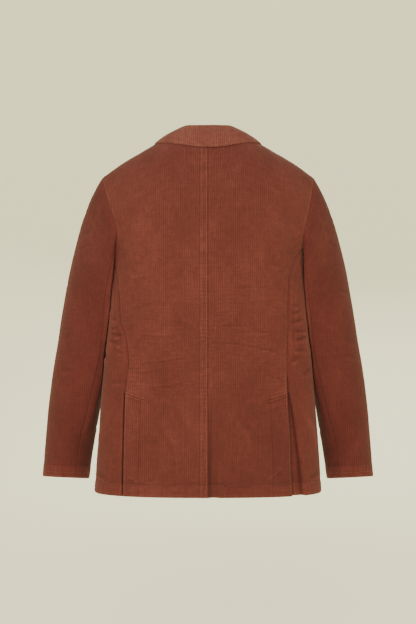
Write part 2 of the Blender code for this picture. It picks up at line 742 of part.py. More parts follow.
def collar_profile(t):
    """The collar's face at a station: up the stand, over the roll and down the fall."""
    c = {key: spline(COLLAR, key, t) for key in Collar._fields}
    neck = np.array([c["neck_x"], c["neck_y"], 0.0])
    neck[2] = body_z(neck[0], neck[1])
    neck = neck + (LAYER_GAP - 0.0003) * body_normal(*neck)
    edge = np.array([c["edge_x"], c["edge_y"], 0.0])
    edge[2] = body_z(edge[0], edge[1])
    edge = edge + (COLLAR_WALL + LAYER_GAP) * body_normal(*edge)
    fold = np.array([c["fold_x"], c["fold_y"], c["fold_z"]])
    down = (neck - fold) / np.linalg.norm(neck - fold) + (edge - fold) / np.linalg.norm(edge - fold)
    up = -down / np.linalg.norm(down)
    out = (edge - fold) / np.linalg.norm(edge - fold) - (neck - fold) / np.linalg.norm(neck - fold)
    out = out - (out @ up) * up
    out /= np.linalg.norm(out)
    r = c["roll"]
    inner = fold - out * r
    outer = fold + out * r
    swell = 0.0035 * out
    return [
        neck,
        neck + (inner - neck) * 0.5,
        inner,
        fold - out * r * 0.65 + up * r * 0.75,
        fold + up * r,
        fold + out * r * 0.65 + up * r * 0.75,
        outer,
        outer + (edge - outer) * 0.33 + swell,
        outer + (edge - outer) * 0.70 + swell * 0.8,
        edge,
    ]


def collar_end():
    """The collar's face at the gorge: a low roll, then a fall level with the lapel."""
    low = [(0.0004, 0.0006), (0.0002, 0.0022), (0.0003, 0.0040), (0.0012, 0.0051), (0.0028, 0.0056)]
    reach = GORGE_SHARE * float(lapel_width(GORGE_Z))
    places = low + [(0.0050, 0.0057), (0.0080, 0.0055)]
    places += [(0.008 + f * (reach - 0.008), 0.0053 - 0.0020 * f) for f in (0.35, 0.70, 1.0)]
    return [lapel_point("left", GORGE_Z, run, lift, SEAM_RAISE) for run, lift in places]


def collar_grid():
    half = []
    for t in np.linspace(0.0, len(COLLAR) - 1.0, COLLAR_STEPS):
        row = np.array(collar_profile(t))
        share = float(smoothstep(t - len(COLLAR) + 2.0))
        half.append(row + share * (np.array(collar_end()) - row))
    flip = np.array([-1.0, 1.0, 1.0])
    other = [row * flip for row in half[1:]]
    return np.array(other[::-1] + half)


lapel_width = curve(LAPEL, "z", "width")
lapel_drop = curve(LAPEL, "z", "drop")


def lapel_point(side, z, run, lift, raised=0.0):
    """A point lifted off the front, at a distance run from the roll line, on the wearer's right."""
    part = max(run, 0.0) / float(lapel_width(z))
    x, pz = front_edge(z) + run, z - float(lapel_drop(z)) * part + raised
    y = float(body_y(x, pz, 1)) - under_inset(side, x)
    return np.array([x, y, pz]) + lift * body_normal(x, y, pz)


def lapel_run(z, f):
    """Distance from the roll line of the lapel's flat columns; f is 0 by the roll, 1 at the edge."""
    width = float(lapel_width(z))
    near = min(0.012, 0.3 * width)
    return near + f * (width - near)


def lapel_foot(side, f):
    """Height of a flat column's foot. The right lapel's foot follows the left one's roll line."""
    foot = LAPEL_FOOT[side]
    z = foot.z
    for _ in range(30):
        z = foot.z - foot.slope * lapel_run(z, f)
    return z


def lapel_grid(side):
    """The lapel: rolled over the front's edge and laid on the front."""
    foot = LAPEL_FOOT[side]
    rolled = [(-0.0031, -0.0014), (-0.0040, 0.0010), (-0.0016, 0.0038)]
    flat = [(f, 0.0050 - 0.0018 * f) for f in (0.0, 0.35, 0.6, 0.82, 1.0)]
    grid = []
    for v in np.linspace(0.0, 1.0, LAPEL_ROWS + 1):
        row = []
        for run, lift in rolled:
            low = foot.z - foot.slope * run
            row.append(lapel_point(side, low + v * (GORGE_Z - low), run, lift))
        for f, lift in flat:
            low = lapel_foot(side, f)
            z = low + v * (GORGE_Z - low)
            row.append(lapel_point(side, z, lapel_run(z, f), lift))
        grid.append(np.array(row) * np.array([SIDES[side], 1.0, 1.0]))
    return np.array(grid)


# ---------------------------------------------------------------- buttons
def button(name, z):
    """A turned button with a rim and a shallow dish, its back on the left front."""
    y = float(body_y(0.0, z, 1))
    normal = Vector(body_normal(0.0, y, z))
    profile = [
        (0.0, 0.0),
        (BUTTON_RADIUS * 0.86, 0.0),
        (BUTTON_RADIUS, BUTTON_THICK * 0.35),
        (BUTTON_RADIUS, BUTTON_THICK * 0.65),
        (BUTTON_RADIUS * 0.88, BUTTON_THICK),
        (BUTTON_RADIUS * 0.72, BUTTON_THICK * 0.98),
        (BUTTON_RADIUS * 0.60, BUTTON_THICK * 0.72),
        (0.0, BUTTON_THICK * 0.66),
    ]
    segments = 16
    points = [(0.0, 0.0, profile[0][1])]
    for r, h in profile[1:-1]:
        for k in range(segments):
            a = 2 * math.pi * k / segments
            points.append((r * math.cos(a), r * math.sin(a), h))
    points.append((0.0, 0.0, profile[-1][1]))
    last = len(points) - 1
    faces = [[0, 1 + (k + 1) % segments, 1 + k] for k in range(segments)]
    for ring in range(len(profile) - 3):
        a = 1 + ring * segments
        for k in range(segments):
            m = (k + 1) % segments
            faces.append([a + k, a + m, a + segments + m, a + segments + k])
    a = 1 + (len(profile) - 3) * segments
    faces += [[a + k, a + (k + 1) % segments, last] for k in range(segments)]
    piece = add_object(name, points, faces, HORN)
    turned = normal.to_track_quat("Z", "Y").to_matrix().to_4x4()
    piece.matrix_world = Matrix.Translation(Vector((0.0, y, z)) + normal * 0.0005) @ turned


# ---------------------------------------------------------------- the jacket
def build_jacket():
    pieces = []
    for side, sign in SIDES.items():
        back = back_panel(side)
        side_grid, lap = side_panel(side)
        front = front_panel(side)
        loop = armhole_loop(side, back, side_grid, front)
        top, under = sleeve_grid(side, loop)
        pieces.append(cloth_grid("back_" + side, back, (0.0, -1.0, 0.0)))
        pieces.append(side_cloth(side, side_grid, lap))
        pieces.append(cloth_grid("front_" + side, front, (0.0, 1.0, 0.0)))
        pieces.append(cloth_grid("sleeve_top_" + side, top, (sign, 0.0, 0.0), tone=RUST_DEEP))
        pieces.append(cloth_grid("sleeve_under_" + side, under, (-sign, 0.0, 0.0), tone=RUST_DEEP))
    sew(pieces)
    extra = [cloth_grid("collar", collar_grid(), (0.0, 0.0, 1.0), wall=COLLAR_WALL)]
    for side in SIDES:
        extra.append(cloth_grid("lapel_" + side, lapel_grid(side), (0.0, 1.0, 0.0), wall=LAPEL_WALL))
    for piece in extra:
        shift = np.zeros_like(piece.points)
        piece.build(piece.normals, shift)
    for name, z in BUTTON_HEIGHTS.items():
        button(name, z)


build_jacket()
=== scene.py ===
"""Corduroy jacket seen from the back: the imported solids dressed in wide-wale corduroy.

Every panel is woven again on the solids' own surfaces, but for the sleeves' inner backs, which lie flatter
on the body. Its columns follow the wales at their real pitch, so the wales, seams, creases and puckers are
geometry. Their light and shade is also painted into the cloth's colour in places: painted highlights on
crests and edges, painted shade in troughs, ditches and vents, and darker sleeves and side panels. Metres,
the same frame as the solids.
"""

import math
from collections import namedtuple
from functools import partial

import bpy
import numpy as np
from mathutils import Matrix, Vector
from mathutils.bvhtree import BVHTree


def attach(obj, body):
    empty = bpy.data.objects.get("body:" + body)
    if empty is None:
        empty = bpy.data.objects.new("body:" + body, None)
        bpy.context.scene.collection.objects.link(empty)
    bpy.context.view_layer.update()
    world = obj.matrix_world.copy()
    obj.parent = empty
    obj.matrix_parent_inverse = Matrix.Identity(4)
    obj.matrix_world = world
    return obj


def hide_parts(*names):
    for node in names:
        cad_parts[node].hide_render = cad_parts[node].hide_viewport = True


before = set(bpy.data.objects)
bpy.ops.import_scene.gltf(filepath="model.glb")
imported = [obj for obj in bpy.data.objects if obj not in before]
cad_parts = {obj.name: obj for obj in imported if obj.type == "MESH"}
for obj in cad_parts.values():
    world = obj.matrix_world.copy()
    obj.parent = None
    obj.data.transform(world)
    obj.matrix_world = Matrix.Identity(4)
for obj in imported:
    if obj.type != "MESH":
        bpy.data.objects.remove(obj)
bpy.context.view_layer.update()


def table(columns, *rows):
    """Rows of numbers, read by their column's name."""
    made = namedtuple("Line", columns)
    return [made(*row) for row in rows]


# ---------------------------------------------------------------- dimensions, as in the solids
WALL = 0.0020
COLLAR_WALL = 0.0022
LAPEL_WALL = 0.0024
LAYER_GAP = 0.0008
SEAM_RAISE = 0.0010
HEM_Z = -0.720
NECK_HALF = 0.070
NECK_BACK = 0.060
BACK_POWER = 2.5
DOME_Z = -0.250
DOME_POWER = 2.2
VENT_TOP = -0.508
VENT_UNDERLAP = 0.036
LAP_TOP = -0.522
STRIP_WIDTH = 0.0156
STRIP_RISE = 0.0009
FRONT_OVERLAP = 0.018
BREAK_Z = -0.300
CUTAWAY_Z = -0.600
CUTAWAY_X = 0.050
GORGE_Z = -0.018
GORGE_SHARE = 0.62
BUTTON_THICK = 0.0036
BUTTON_HEIGHTS = {"button_upper": -0.335, "button_lower": -0.445}
JOIN_BACK = {"left": -0.240, "right": -0.215}
JOIN_FRONT = -0.235
UNDERARM_Z = -0.262
SIDES = {"left": -1.0, "right": 1.0}

Sewn = namedtuple("Sewn", "hind front foot")   # turns of the sleeve's seams; the armhole's lowest place
SLEEVE_SEAMS = {"left": Sewn(0.332, 0.702, 0.43), "right": Sewn(0.338, 0.688, 0.57)}

BODY = table(
    "z half_width back_depth front_depth widest_y front_power",
    (-0.720, 0.2375, 0.1300, 0.1120, -0.022, 2.4),
    (-0.660, 0.2330, 0.1270, 0.1110, -0.027, 2.3),
    (-0.600, 0.2285, 0.1230, 0.1100, -0.031, 2.2),
    (-0.520, 0.2222, 0.1170, 0.1090, -0.034, 2.2),
    (-0.450, 0.2165, 0.1125, 0.1085, -0.035, 2.2),
    (-0.380, 0.2085, 0.1140, 0.1110, -0.034, 2.2),
    (-0.320, 0.2045, 0.1200, 0.1160, -0.030, 2.2),
    (-0.262, 0.2045, 0.1265, 0.1210, -0.018, 2.3),
    (-0.210, 0.2165, 0.1290, 0.1230, 0.000, 2.5),
    (-0.180, 0.2265, 0.1300, 0.1235, 0.000, 2.5),
    (-0.110, 0.2330, 0.1300, 0.1220, 0.000, 2.5),
    (-0.060, 0.2400, 0.1300, 0.1200, 0.000, 2.5),
    (0.050, 0.2500, 0.1300, 0.1180, 0.000, 2.5),
)

SHOULDER = table(
    "x z",
    (0.000, 0.0350),
    (0.040, 0.0330),
    (0.080, 0.0254),
    (0.108, 0.0110),
    (0.138, -0.0060),
    (0.180, -0.0310),
    (0.2226, -0.0615),
    (0.250, -0.0850),
)

SEAMS = table(
    "z back_left back_right front",
    (-0.720, 0.1735, 0.1715, 0.2120),
    (-0.600, 0.1720, 0.1680, 0.2030),
    (-0.508, 0.1690, 0.1630, 0.1950),
    (-0.450, 0.1630, 0.1620, 0.1900),
    (-0.395, 0.1680, 0.1635, 0.1870),
    (-0.360, 0.1800, 0.1640, 0.1860),
    (-0.290, 0.1835, 0.1650, 0.1860),
    (-0.262, 0.1885, 0.1690, 0.1865),
    (-0.240, 0.1980, 0.1765, 0.1880),
    (-0.228, 0.1980, 0.1850, 0.1880),
    (-0.215, 0.1980, 0.1965, 0.1880),
)

ARMHOLE = table(
    "z back_left back_right front",
    (-0.240, 0.1980, 0.1965, 0.1880),
    (-0.230, 0.1960, 0.1965, 0.1875),
    (-0.215, 0.1930, 0.1965, 0.1840),
    (-0.180, 0.1870, 0.1980, 0.1820),
    (-0.148, 0.1950, 0.2056, 0.1870),
    (-0.111, 0.2080, 0.2134, 0.2000),
    (-0.085, 0.2170, 0.2190, 0.2130),
    (-0.0615, 0.2226, 0.2226, 0.2226),
)

# How the vents hang: the left one closed to a narrow dark line, the right one open.
SLITS = {
    "left": table(
        "z crease depth",
        (-0.720, 0.0046, 0.0052), (-0.530, 0.0040, 0.0050), (VENT_TOP, 0.0030, 0.0034),
    ),
    "right": table(
        "z crease depth",
        (-0.720, 0.0330, 0.0120), (-0.660, 0.0265, 0.0110), (-0.600, 0.0185, 0.0100),
        (-0.540, 0.0110, 0.0080), (VENT_TOP, 0.0040, 0.0040),
    ),
}
SLIT_FIRM = {"left": 0.40, "right": 0.80}       # share of the hollow that stays at full depth
VENT_CREASE_TOP = -0.466                        # above the right vent its crease runs on up to here
VENT_FACING = {"left": 0.0315, "right": 0.0370}
VENT_BARS = ((0.0005, 1.0), (0.0062, 0.75), (-0.0052, 0.35))    # each slanted bar's drop and strength
VENT_BAR_END = {"left": 0.050, "right": 0.038}
# How much darker each side panel is painted, as shade.
SIDE_PAINTED_SHADE = {"left": 0.12, "right": 0.08}

BACK_FOLDS = table(
    "x0 z0 x1 z1 width depth",
    (0.0130, -0.520, 0.0130, -0.740, 0.0060, 0.0050),
    (0.1880, -0.120, 0.1730, -0.215, 0.0100, 0.0040),
    (-0.1720, -0.150, -0.1760, -0.235, 0.0110, 0.0040),
)

SLEEVE_REST = 0.0028        # how far a sleeve keeps off the body's side
HEAD_TUCK = 0.0045          # how far a sleeve's head goes under the armhole's edge
CUFF_ROW = 0.012
HEM = 0.025
TOPSTITCH = 0.006           # from the edge of a front, a lapel or the collar to its row of stitches
STRIP_STITCHES = (0.0030, 0.0125)
FACE_GUARD, BACK_GUARD = 0.00022, 0.002      # no column comes nearer to a row's end than this
ARMHOLE_POINTS, UNDERARM_POINTS = 90, 59
FRONT_STRIDE, SLEEVE_STRIDE = 1.7, {"top": 1.4, "under": 2.0}    # row steps, in steps of the back

# square: how flat a level of the sleeve lies on the body
SLEEVE = table(
    "z x y half_width half_depth lean square",
    (-0.305, 0.2525, 0.026, 0.0503, 0.0700, 0.15, 1.0),
    (-0.360, 0.2600, 0.030, 0.0530, 0.0670, 0.14, 1.0),
    (-0.405, 0.2660, 0.033, 0.0545, 0.0640, 0.14, 1.0),
    (-0.435, 0.2704, 0.036, 0.0552, 0.0620, 0.14, 0.9),
    (-0.480, 0.2775, 0.040, 0.0560, 0.0590, 0.13, 0.65),
    (-0.565, 0.2905, 0.050, 0.0545, 0.0530, 0.11, 0.35),
    (-0.630, 0.2995, 0.058, 0.0520, 0.0490, 0.08, 0.0),
    (-0.7045, 0.3090, 0.068, 0.0498, 0.0440, 0.05, 0.0),
)

CAP = table(
    "turn x y z pull settle",
    (0.000, 0.58, 0.00, -0.81, 0.195, 0.240),
    (0.125, 0.66, -0.04, -0.74, 0.150, 0.180),
    (0.250, 0.56, -0.24, -0.76, 0.100, 0.120),
    (0.375, -0.12, -0.66, -0.72, 0.070, 0.070),
    (0.500, 0.80, 0.00, -0.45, 0.035, 0.040),
    (0.625, 0.90, 0.20, -0.35, 0.060, 0.070),
    (0.750, 0.66, 0.30, -0.68, 0.100, 0.120),
    (0.875, 0.63, 0.12, -0.76, 0.150, 0.180),
)

COLLAR = table(
    "neck_x neck_y fold_x fold_y fold_z edge_x edge_y roll",
    (0.0000, -0.0592, 0.0000, -0.0555, 0.0395, 0.0000, -0.0745, 0.0040),
    (0.0292, -0.0540, 0.0260, -0.0515, 0.0398, 0.0410, -0.0700, 0.0040),
    (0.0524, -0.0394, 0.0465, -0.0385, 0.0405, 0.0790, -0.0550, 0.0040),
    (0.0674, -0.0186, 0.0590, -0.0200, 0.0385, 0.1030, -0.0320, 0.0040),
    (0.0715, 0.0020, 0.0620, 0.0020, 0.0355, 0.1130, 0.0000, 0.0040),
    (0.0702, 0.0260, 0.0645, 0.0285, 0.0290, 0.1195, 0.0290, 0.0037),
    (0.0665, 0.0490, 0.0646, 0.0540, 0.0165, 0.1235, 0.0560, 0.0033),
    (0.0610, 0.0705, 0.0609, 0.0751, -0.0121, 0.1085, 0.0735, 0.0028),
)

LAPEL = table(
    "z width drop",
    (-0.300, 0.004, 0.000),
    (-0.250, 0.026, 0.000),
    (-0.200, 0.043, 0.003),
    (-0.150, 0.056, 0.008),
    (-0.100, 0.067, 0.018),
    (-0.060, 0.074, 0.030),
    (GORGE_Z, 0.078, 0.044),
)
Foot = namedtuple("Foot", "z slope")
LAPEL_FOOT = {"left": Foot(-0.290, 0.0), "right": Foot(-0.229, 1.75)}

# ---------------------------------------------------------------- the corduroy
PITCH = 0.0043              # from one wale to the next
WALE_HEIGHT = 0.00058
RIDGES = table("place height", (0.0, 0.0), (0.20, 0.86), (0.50, 1.0), (0.80, 0.86))     # groove, then rib
CRUMPLE = 0.00045
RIPPLE = 0.00017
CREASE_DEPTH = 1.35

# Spacing of the rows above a height, finer where the cloth creases.
ROWS = table(
    "above step",
    (-0.720, 0.0024), (-0.680, 0.0040), (-0.540, 0.0016), (-0.500, 0.0020), (-0.290, 0.0032),
)

# Each crease as listed: distance across from the panel's anchor line and height at one end, the
# same at the other end, all in millimetres, then its width and depth in tenths of one.
CREASES = {
    "back_left": [
        (163, -385, 32, -379, 19, 6), (92, -353, 20, -364, 18, 5), (156, -397, 44, -400, 20, 6),
        (150, -445, 16, -418, 22, 7), (120, -426, 50, -412, 18, 4), (160, -493, 22, -474, 21, 8),
        (116, -501, 28, -493, 18, 5), (162, -464, 84, -456, 20, 6), (166, -334, 100, -317, 20, 6),
        (60, -320, 18, -326, 18, 4), (168, -278, 110, -264, 24, 6), (170, -678, 138, -696, 26, 9),
        (140, -690, 56, -687, 26, 6), (46, -689, 18, -684, 26, 5), (120, -90, 172, -118, 50, 6),
        (70, -52, 118, -70, 50, 5), (100, -560, 60, -630, 65, 6),
    ],
    "back_right": [
        (50, -300, 154, -309, 19, 6), (4, -362, 62, -346, 18, 6), (8, -380, 110, -386, 19, 8),
        (50, -390, 156, -399, 20, 7), (2, -413, 92, -420, 19, 8), (72, -416, 158, -441, 22, 9),
        (26, -434, 100, -446, 19, 5), (112, -474, 160, -492, 24, 7), (120, -249, 162, -259, 20, 7),
        (100, -330, 160, -324, 19, 5), (10, -330, 58, -337, 19, 4), (160, -660, 116, -689, 28, 9),
        (112, -691, 40, -690, 26, 6), (120, -80, 168, -109, 50, 6), (60, -550, 100, -630, 65, 6),
        (154, -532, 100, -546, 26, 7),
    ],
    "side_left": [
        (4, -364, 36, -358, 30, 15), (6, -379, 42, -384, 28, 16), (3, -396, 46, -393, 32, 17),
        (10, -414, 54, -406, 34, 14), (2, -433, 40, -424, 34, 11), (30, -340, 72, -352, 45, 14),
        (0, -488, 44, -496, 36, 11), (52, -435, 112, -448, 60, 14), (36, -688, 100, -682, 45, 10),
        (70, -560, 92, -640, 80, 12),
    ],
    "side_right": [
        (4, -330, 34, -338, 30, 15), (6, -350, 40, -345, 28, 16), (3, -370, 48, -364, 30, 18),
        (10, -386, 56, -390, 30, 19), (14, -405, 60, -401, 34, 19), (6, -423, 52, -431, 32, 16),
        (2, -448, 36, -440, 36, 12), (30, -476, 78, -466, 46, 13), (60, -356, 116, -372, 60, 14),
        (40, -689, 108, -680, 45, 12), (62, -550, 86, -630, 80, 12),
    ],
    "front_left": [
        (20, -342, 112, -312, 33, 8), (22, -356, 98, -370, 30, 6), (20, -452, 120, -438, 33, 7),
        (26, -466, 88, -490, 30, 5), (190, -410, 118, -396, 30, 6), (196, -432, 138, -428, 25, 5),
        (172, -242, 118, -200, 36, 7), (60, -520, 80, -630, 54, 8), (140, -540, 130, -660, 60, 9),
        (120, -686, 200, -690, 27, 5),
    ],
    "front_right": [
        (60, -325, 124, -300, 33, 7), (58, -362, 112, -378, 30, 6), (60, -448, 128, -430, 33, 6),
        (64, -470, 104, -496, 30, 5), (192, -400, 128, -388, 30, 6), (194, -426, 146, -421, 25, 5),
        (170, -246, 124, -210, 36, 6), (74, -530, 98, -640, 54, 8), (152, -530, 140, -650, 60, 9),
        (118, -689, 196, -684, 27, 5),
    ],
    "sleeve_top_left": [
        (30, -192, 74, -178, 29, 8), (42, -216, 86, -206, 26, 9), (14, -242, 56, -236, 29, 9),
        (24, -268, 78, -256, 32, 8), (-10, -295, 44, -288, 33, 7), (40, -406, 98, -390, 43, 5),
        (30, -438, 104, -430, 40, 5), (44, -468, 96, -472, 40, 4), (-30, -412, -84, -396, 43, 9),
        (-22, -440, -90, -442, 40, 10), (-26, -470, -82, -486, 40, 8), (-20, -150, -70, -180, 50, 11),
        (20, -570, 70, -596, 43, 3), (-20, -600, -60, -624, 43, 8),
    ],
    "sleeve_top_right": [
        (34, -186, 70, -176, 27, 9), (36, -210, 82, -202, 26, 9), (12, -234, 50, -230, 29, 9),
        (26, -256, 80, -248, 30, 8), (10, -282, 52, -276, 30, 9), (36, -310, 88, -302, 36, 7),
        (36, -414, 100, -402, 43, 5), (28, -446, 106, -444, 40, 5), (48, -478, 98, -486, 40, 4),
        (-28, -406, -86, -388, 43, 9), (-20, -434, -92, -438, 40, 10), (-30, -464, -80, -480, 40, 8),
        (-18, -154, -68, -178, 50, 11), (18, -576, 64, -602, 43, 3), (-24, -606, -60, -626, 43, 8),
    ],
    "sleeve_under_left": [
        (-30, -346, 40, -356, 36, 9), (-34, -426, 46, -418, 40, 9), (-30, -452, 44, -460, 40, 10),
        (-32, -486, 36, -498, 40, 10), (-20, -590, 24, -606, 40, 7),
    ],
    "sleeve_under_right": [
        (-28, -340, 38, -350, 36, 9), (-32, -420, 44, -414, 40, 9), (-30, -448, 42, -454, 40, 10),
        (-30, -482, 34, -496, 40, 10), (-22, -596, 22, -612, 40, 7),
    ],
}
UNITS = (1e3, 1e3, 1e3, 1e3, 1e4, 1e4)
CREASES = {
    name: table("across0 z0 across1 z1 width depth", *np.array(rows) / UNITS) for name, rows in CREASES.items()
}


# ---------------------------------------------------------------- smooth curves through tables
def hermite(a, way_a, b, way_b, t):
    """A cubic from a to b that leaves and arrives along the two given ways."""
    u = 1 - t
    return a * (1 + 2 * t) * u**2 + way_a * t * u**2 + b * t * t * (3 - 2 * t) + way_b * t * t * (t - 1)


def curve(rows, key, value):
    """A monotone cubic through two columns of a table, held at its end values beyond the ends."""
    rows = sorted(rows, key=lambda row: getattr(row, key))
    xs, ys = (np.array([getattr(row, column) for row in rows]) for column in (key, value))
    step = np.diff(xs)
    slope = np.diff(ys) / step
    tangent = np.array([slope[0], *np.zeros(len(xs) - 2), slope[-1]])
    for i in range(1, len(xs) - 1):
        if slope[i - 1] * slope[i] > 0:
            w1, w2 = 2 * step[i] + step[i - 1], step[i] + 2 * step[i - 1]
            tangent[i] = (w1 + w2) / (w1 / slope[i - 1] + w2 / slope[i])

    def at(x):
        x = np.clip(np.asarray(x, dtype=float), xs[0], xs[-1])
        i = np.clip(np.searchsorted(xs, x, side="right") - 1, 0, len(step) - 1)
        ways = tangent[i] * step[i], tangent[i + 1] * step[i]
        return hermite(ys[i], ways[0], ys[i + 1], ways[1], (x - xs[i]) / step[i])

    return at


def catmull_rom(p0, p1, p2, p3, t):
    slope = p2 - p0
    bend = 2 * p0 - 5 * p1 + 4 * p2 - p3
    turn = 3 * p1 - p0 - 3 * p2 + p3
    return 0.5 * (2 * p1 + slope * t + bend * t**2 + turn * t**3)


def ease(t):
    """0 to 1, level at both ends."""
    t = np.clip(t, 0.0, 1.0)
    return t * t * (3.0 - 2.0 * t)


def over(x, limit, fade):
    """0 below a limit, 1 from a fade beyond it."""
    return ease((x - limit) / fade)


def under(x, limit, fade):
    """1 below a limit by a fade or more, 0 beyond it."""
    return ease((limit - x) / fade)


def line(distance, width):
    """A soft line, 1 in its middle."""
    return np.exp(-((distance / width) ** 2))


def unit(vectors):
    return vectors / np.linalg.norm(vectors, axis=-1, keepdims=True)


def arc_length(points):
    """Distances along a line of points, from its first."""
    return np.concatenate([[0.0], np.cumsum(np.linalg.norm(np.diff(points, axis=0), axis=1))])


def sample(where, places, points):
    """Points at distances along a line of points that has its own at the given places."""
    return np.stack([np.interp(where, places, points[:, k]) for k in range(3)], axis=-1)


half_width = curve(BODY, "z", "half_width")
depth = {-1: curve(BODY, "z", "back_depth"), 1: curve(BODY, "z", "front_depth")}
widest_y = curve(BODY, "z", "widest_y")
front_power = curve(BODY, "z", "front_power")
ridge = curve(SHOULDER, "x", "z")
back_seam = {side: curve(SEAMS, "z", "back_" + side) for side in SIDES}
front_seam = curve(SEAMS, "z", "front")
back_armhole = {side: curve(ARMHOLE, "z", "back_" + side) for side in SIDES}
front_armhole = curve(ARMHOLE, "z", "front")
lapel_width = curve(LAPEL, "z", "width")
lapel_drop = curve(LAPEL, "z", "drop")


# ---------------------------------------------------------------- the body's surface
def dome(x, z):
    t = np.clip((z - DOME_Z) / (ridge(np.abs(x)) - DOME_Z), 0.0, 1.0)
    return np.maximum(1.0 - t**DOME_POWER, 0.0) ** (1.0 / DOME_POWER)


def back_fold(x, z):
    total = np.zeros(np.broadcast(x, z).shape)
    for f in BACK_FOLDS:
        run = np.array([f.x1 - f.x0, f.z1 - f.z0])
        along = ((x - f.x0) * run[0] + (z - f.z0) * run[1]) / (run @ run)
        off = ((x - f.x0) * run[1] - (z - f.z0) * run[0]) / math.sqrt(run @ run)
        taper = ease(2.5 * along) * ease(4.0 * (1.15 - along))
        total = total + f.depth * taper * np.clip(1.0 - (off / (2.0 * f.width)) ** 2, 0.0, 1.0) ** 3
    return total


def section_shape(s, z, face):
    power = BACK_POWER if face < 0 else front_power(z)
    return (1.0 - np.clip(s, 0.0, 1.0) ** power) ** (1.0 / power)


def body_y(x, z, face):
    """Y of the body's outer surface at x, z; face is -1 on the back and 1 on the front."""
    reach = face * depth[face](z) - widest_y(z)
    y = widest_y(z) + reach * section_shape(np.abs(x) / half_width(z), z, face) * dome(x, z)
    if face < 0:
        y = y + back_fold(x, z)
    return y


def body_z(x, y):
    """Height of the shoulders' surface above a place in plan."""
    x, y = np.asarray(x, dtype=float), np.asarray(y, dtype=float)
    z = np.zeros(np.broadcast(x, y).shape)
    for _ in range(12):
        back, front = (depth[f](z) * section_shape(np.abs(x) / half_width(z), z, f) for f in (-1, 1))
        h = np.minimum(np.abs(y) / np.where(y < 0, back, front), 1.0)
        z = DOME_Z + (1.0 - h**DOME_POWER) ** (1.0 / DOME_POWER) * (ridge(np.abs(x)) - DOME_Z)
    return z


def body_normal(x, y, z):
    """Outward normal of the body's surface, from its neighbours in plan or in elevation."""
    e = 0.001
    if abs(y) < 0.085 and z > -0.1:
        du = np.array([2 * e, 0.0, float(body_z(x + e, y) - body_z(x - e, y))])
        dv = np.array([0.0, 2 * e, float(body_z(x, y + e) - body_z(x, y - e))])
        return unit(np.cross(du, dv))
    face = -1 if y < 0 else 1
    du = np.array([2 * e, float(body_y(x + e, z, face) - body_y(x - e, z, face)), 0.0])
    dv = np.array([0.0, float(body_y(x, z + e, face) - body_y(x, z - e, face)), 2 * e])
    return unit(np.cross(du, dv) * -face)


def section(z, samples=900):
    """The right half of a horizontal section: points from centre back to centre front, arc lengths."""
    turn = np.linspace(0.0, math.pi, samples)
    back = turn < math.pi / 2
    power = np.where(back, BACK_POWER, front_power(z))
    x = half_width(z) * np.abs(np.sin(turn)) ** (2.0 / power)
    reach = np.where(back, -depth[-1](z), depth[1](z)) - widest_y(z)
    y = widest_y(z) + reach * np.abs(np.cos(turn)) ** (2.0 / power) * dome(x, z)
    return x, y, arc_length(np.stack([x, y], axis=1))


def side_points(z, x_back, x_front, metres, share, inset=0.0):
    """Points of the side at distances from its back seam, one level."""
    x, y, arc = section(z)
    widest = int(np.argmax(x))
    s_back = np.interp(x_back, x[: widest + 1], arc[: widest + 1])
    s_front = np.interp(-x_front, -x[widest:], arc[widest:])
    s = s_back + metres + share * (s_front - s_back)
    e = 0.002
    tx, ty = (np.interp(s + e, arc, k) - np.interp(s - e, arc, k) for k in (x, y))
    length = np.hypot(tx, ty)
    px, py = np.interp(s, arc, x), np.interp(s, arc, y)
    return np.stack([px - inset * ty / length, py + inset * tx / length, np.full(np.shape(px), z)], axis=-1)


# ---------------------------------------------------------------- rows of the panels
Row = namedtuple("Row", "points across seam", defaults=(None,))   # a line across, its cloth distances


def steps(low, high, extra=(), stride=1.0):
    """Heights a row step apart, closer at both ends where the seams are."""
    rows = [low]
    while rows[-1] < high:
        rows.append(rows[-1] + stride * [r.step for r in ROWS if r.above <= rows[-1] + 1e-6][-1])
    rows = rows[:-1] if high - rows[-2] > 0.0015 else rows[:-2]
    return np.unique(np.round([*rows, high, low + 0.0012, high - 0.0012, *extra], 5))


def dome_fractions(count=46):
    even = np.sin(np.linspace(0.0, math.pi / 2, count + 1))
    return np.unique([*even, 0.99995, 0.9997])


def across(points, slope_share, start=0.0):
    """Cloth distances along a row; a slanted row's rise counts only by its share."""
    return start + arc_length(points * (1.0, 1.0, slope_share))


def level_row(side, x, y, z, slope_share=0.0):
    """A row over half the back or the front, from the centre line outward."""
    points = np.stack([SIDES[side] * x, y, np.broadcast_to(z, x.shape)], axis=1)
    return Row(points, across(points, slope_share, x[0]))


def neck_height(x):
    """Height of the back neck curve, or of the shoulder seam beyond it."""
    neck = body_z(x, -NECK_BACK * np.sqrt(np.clip(1.0 - (x / NECK_HALF) ** 2, 0.0, 1.0)) - 1e-9)
    return np.where(x >= NECK_HALF, ridge(x), neck)


def edge_on_row(join, fraction, edge_x):
    """Where a row of the dome meets a panel's edge line, found by a few repeats."""
    x = float(edge_x(join))
    for _ in range(30):
        x = float(edge_x(join + fraction * (float(ridge(abs(x))) - join)))
    return x


def back_rows(side):
    sign, join = SIDES[side], JOIN_BACK[side]
    rows = []
    for z in steps(HEM_Z, join)[:-1]:
        x = np.linspace(0.0, float(back_seam[side](z)), 220)
        rows.append(level_row(side, x, body_y(sign * x, z, -1), z))
    for fraction in dome_fractions():
        x = np.linspace(0.0, edge_on_row(join, fraction, back_armhole[side]), 220)
        z = join + fraction * (neck_height(x) - join)
        rows.append(level_row(side, x, body_y(sign * x, z, -1), z, fraction**2))
    return rows


def side_top(side, spread):
    dip = 1.0 - abs(2.0 * spread - 1.0) ** 2.2
    straight = JOIN_BACK[side] + (JOIN_FRONT - JOIN_BACK[side]) * spread
    return straight + (UNDERARM_Z - straight) * dip


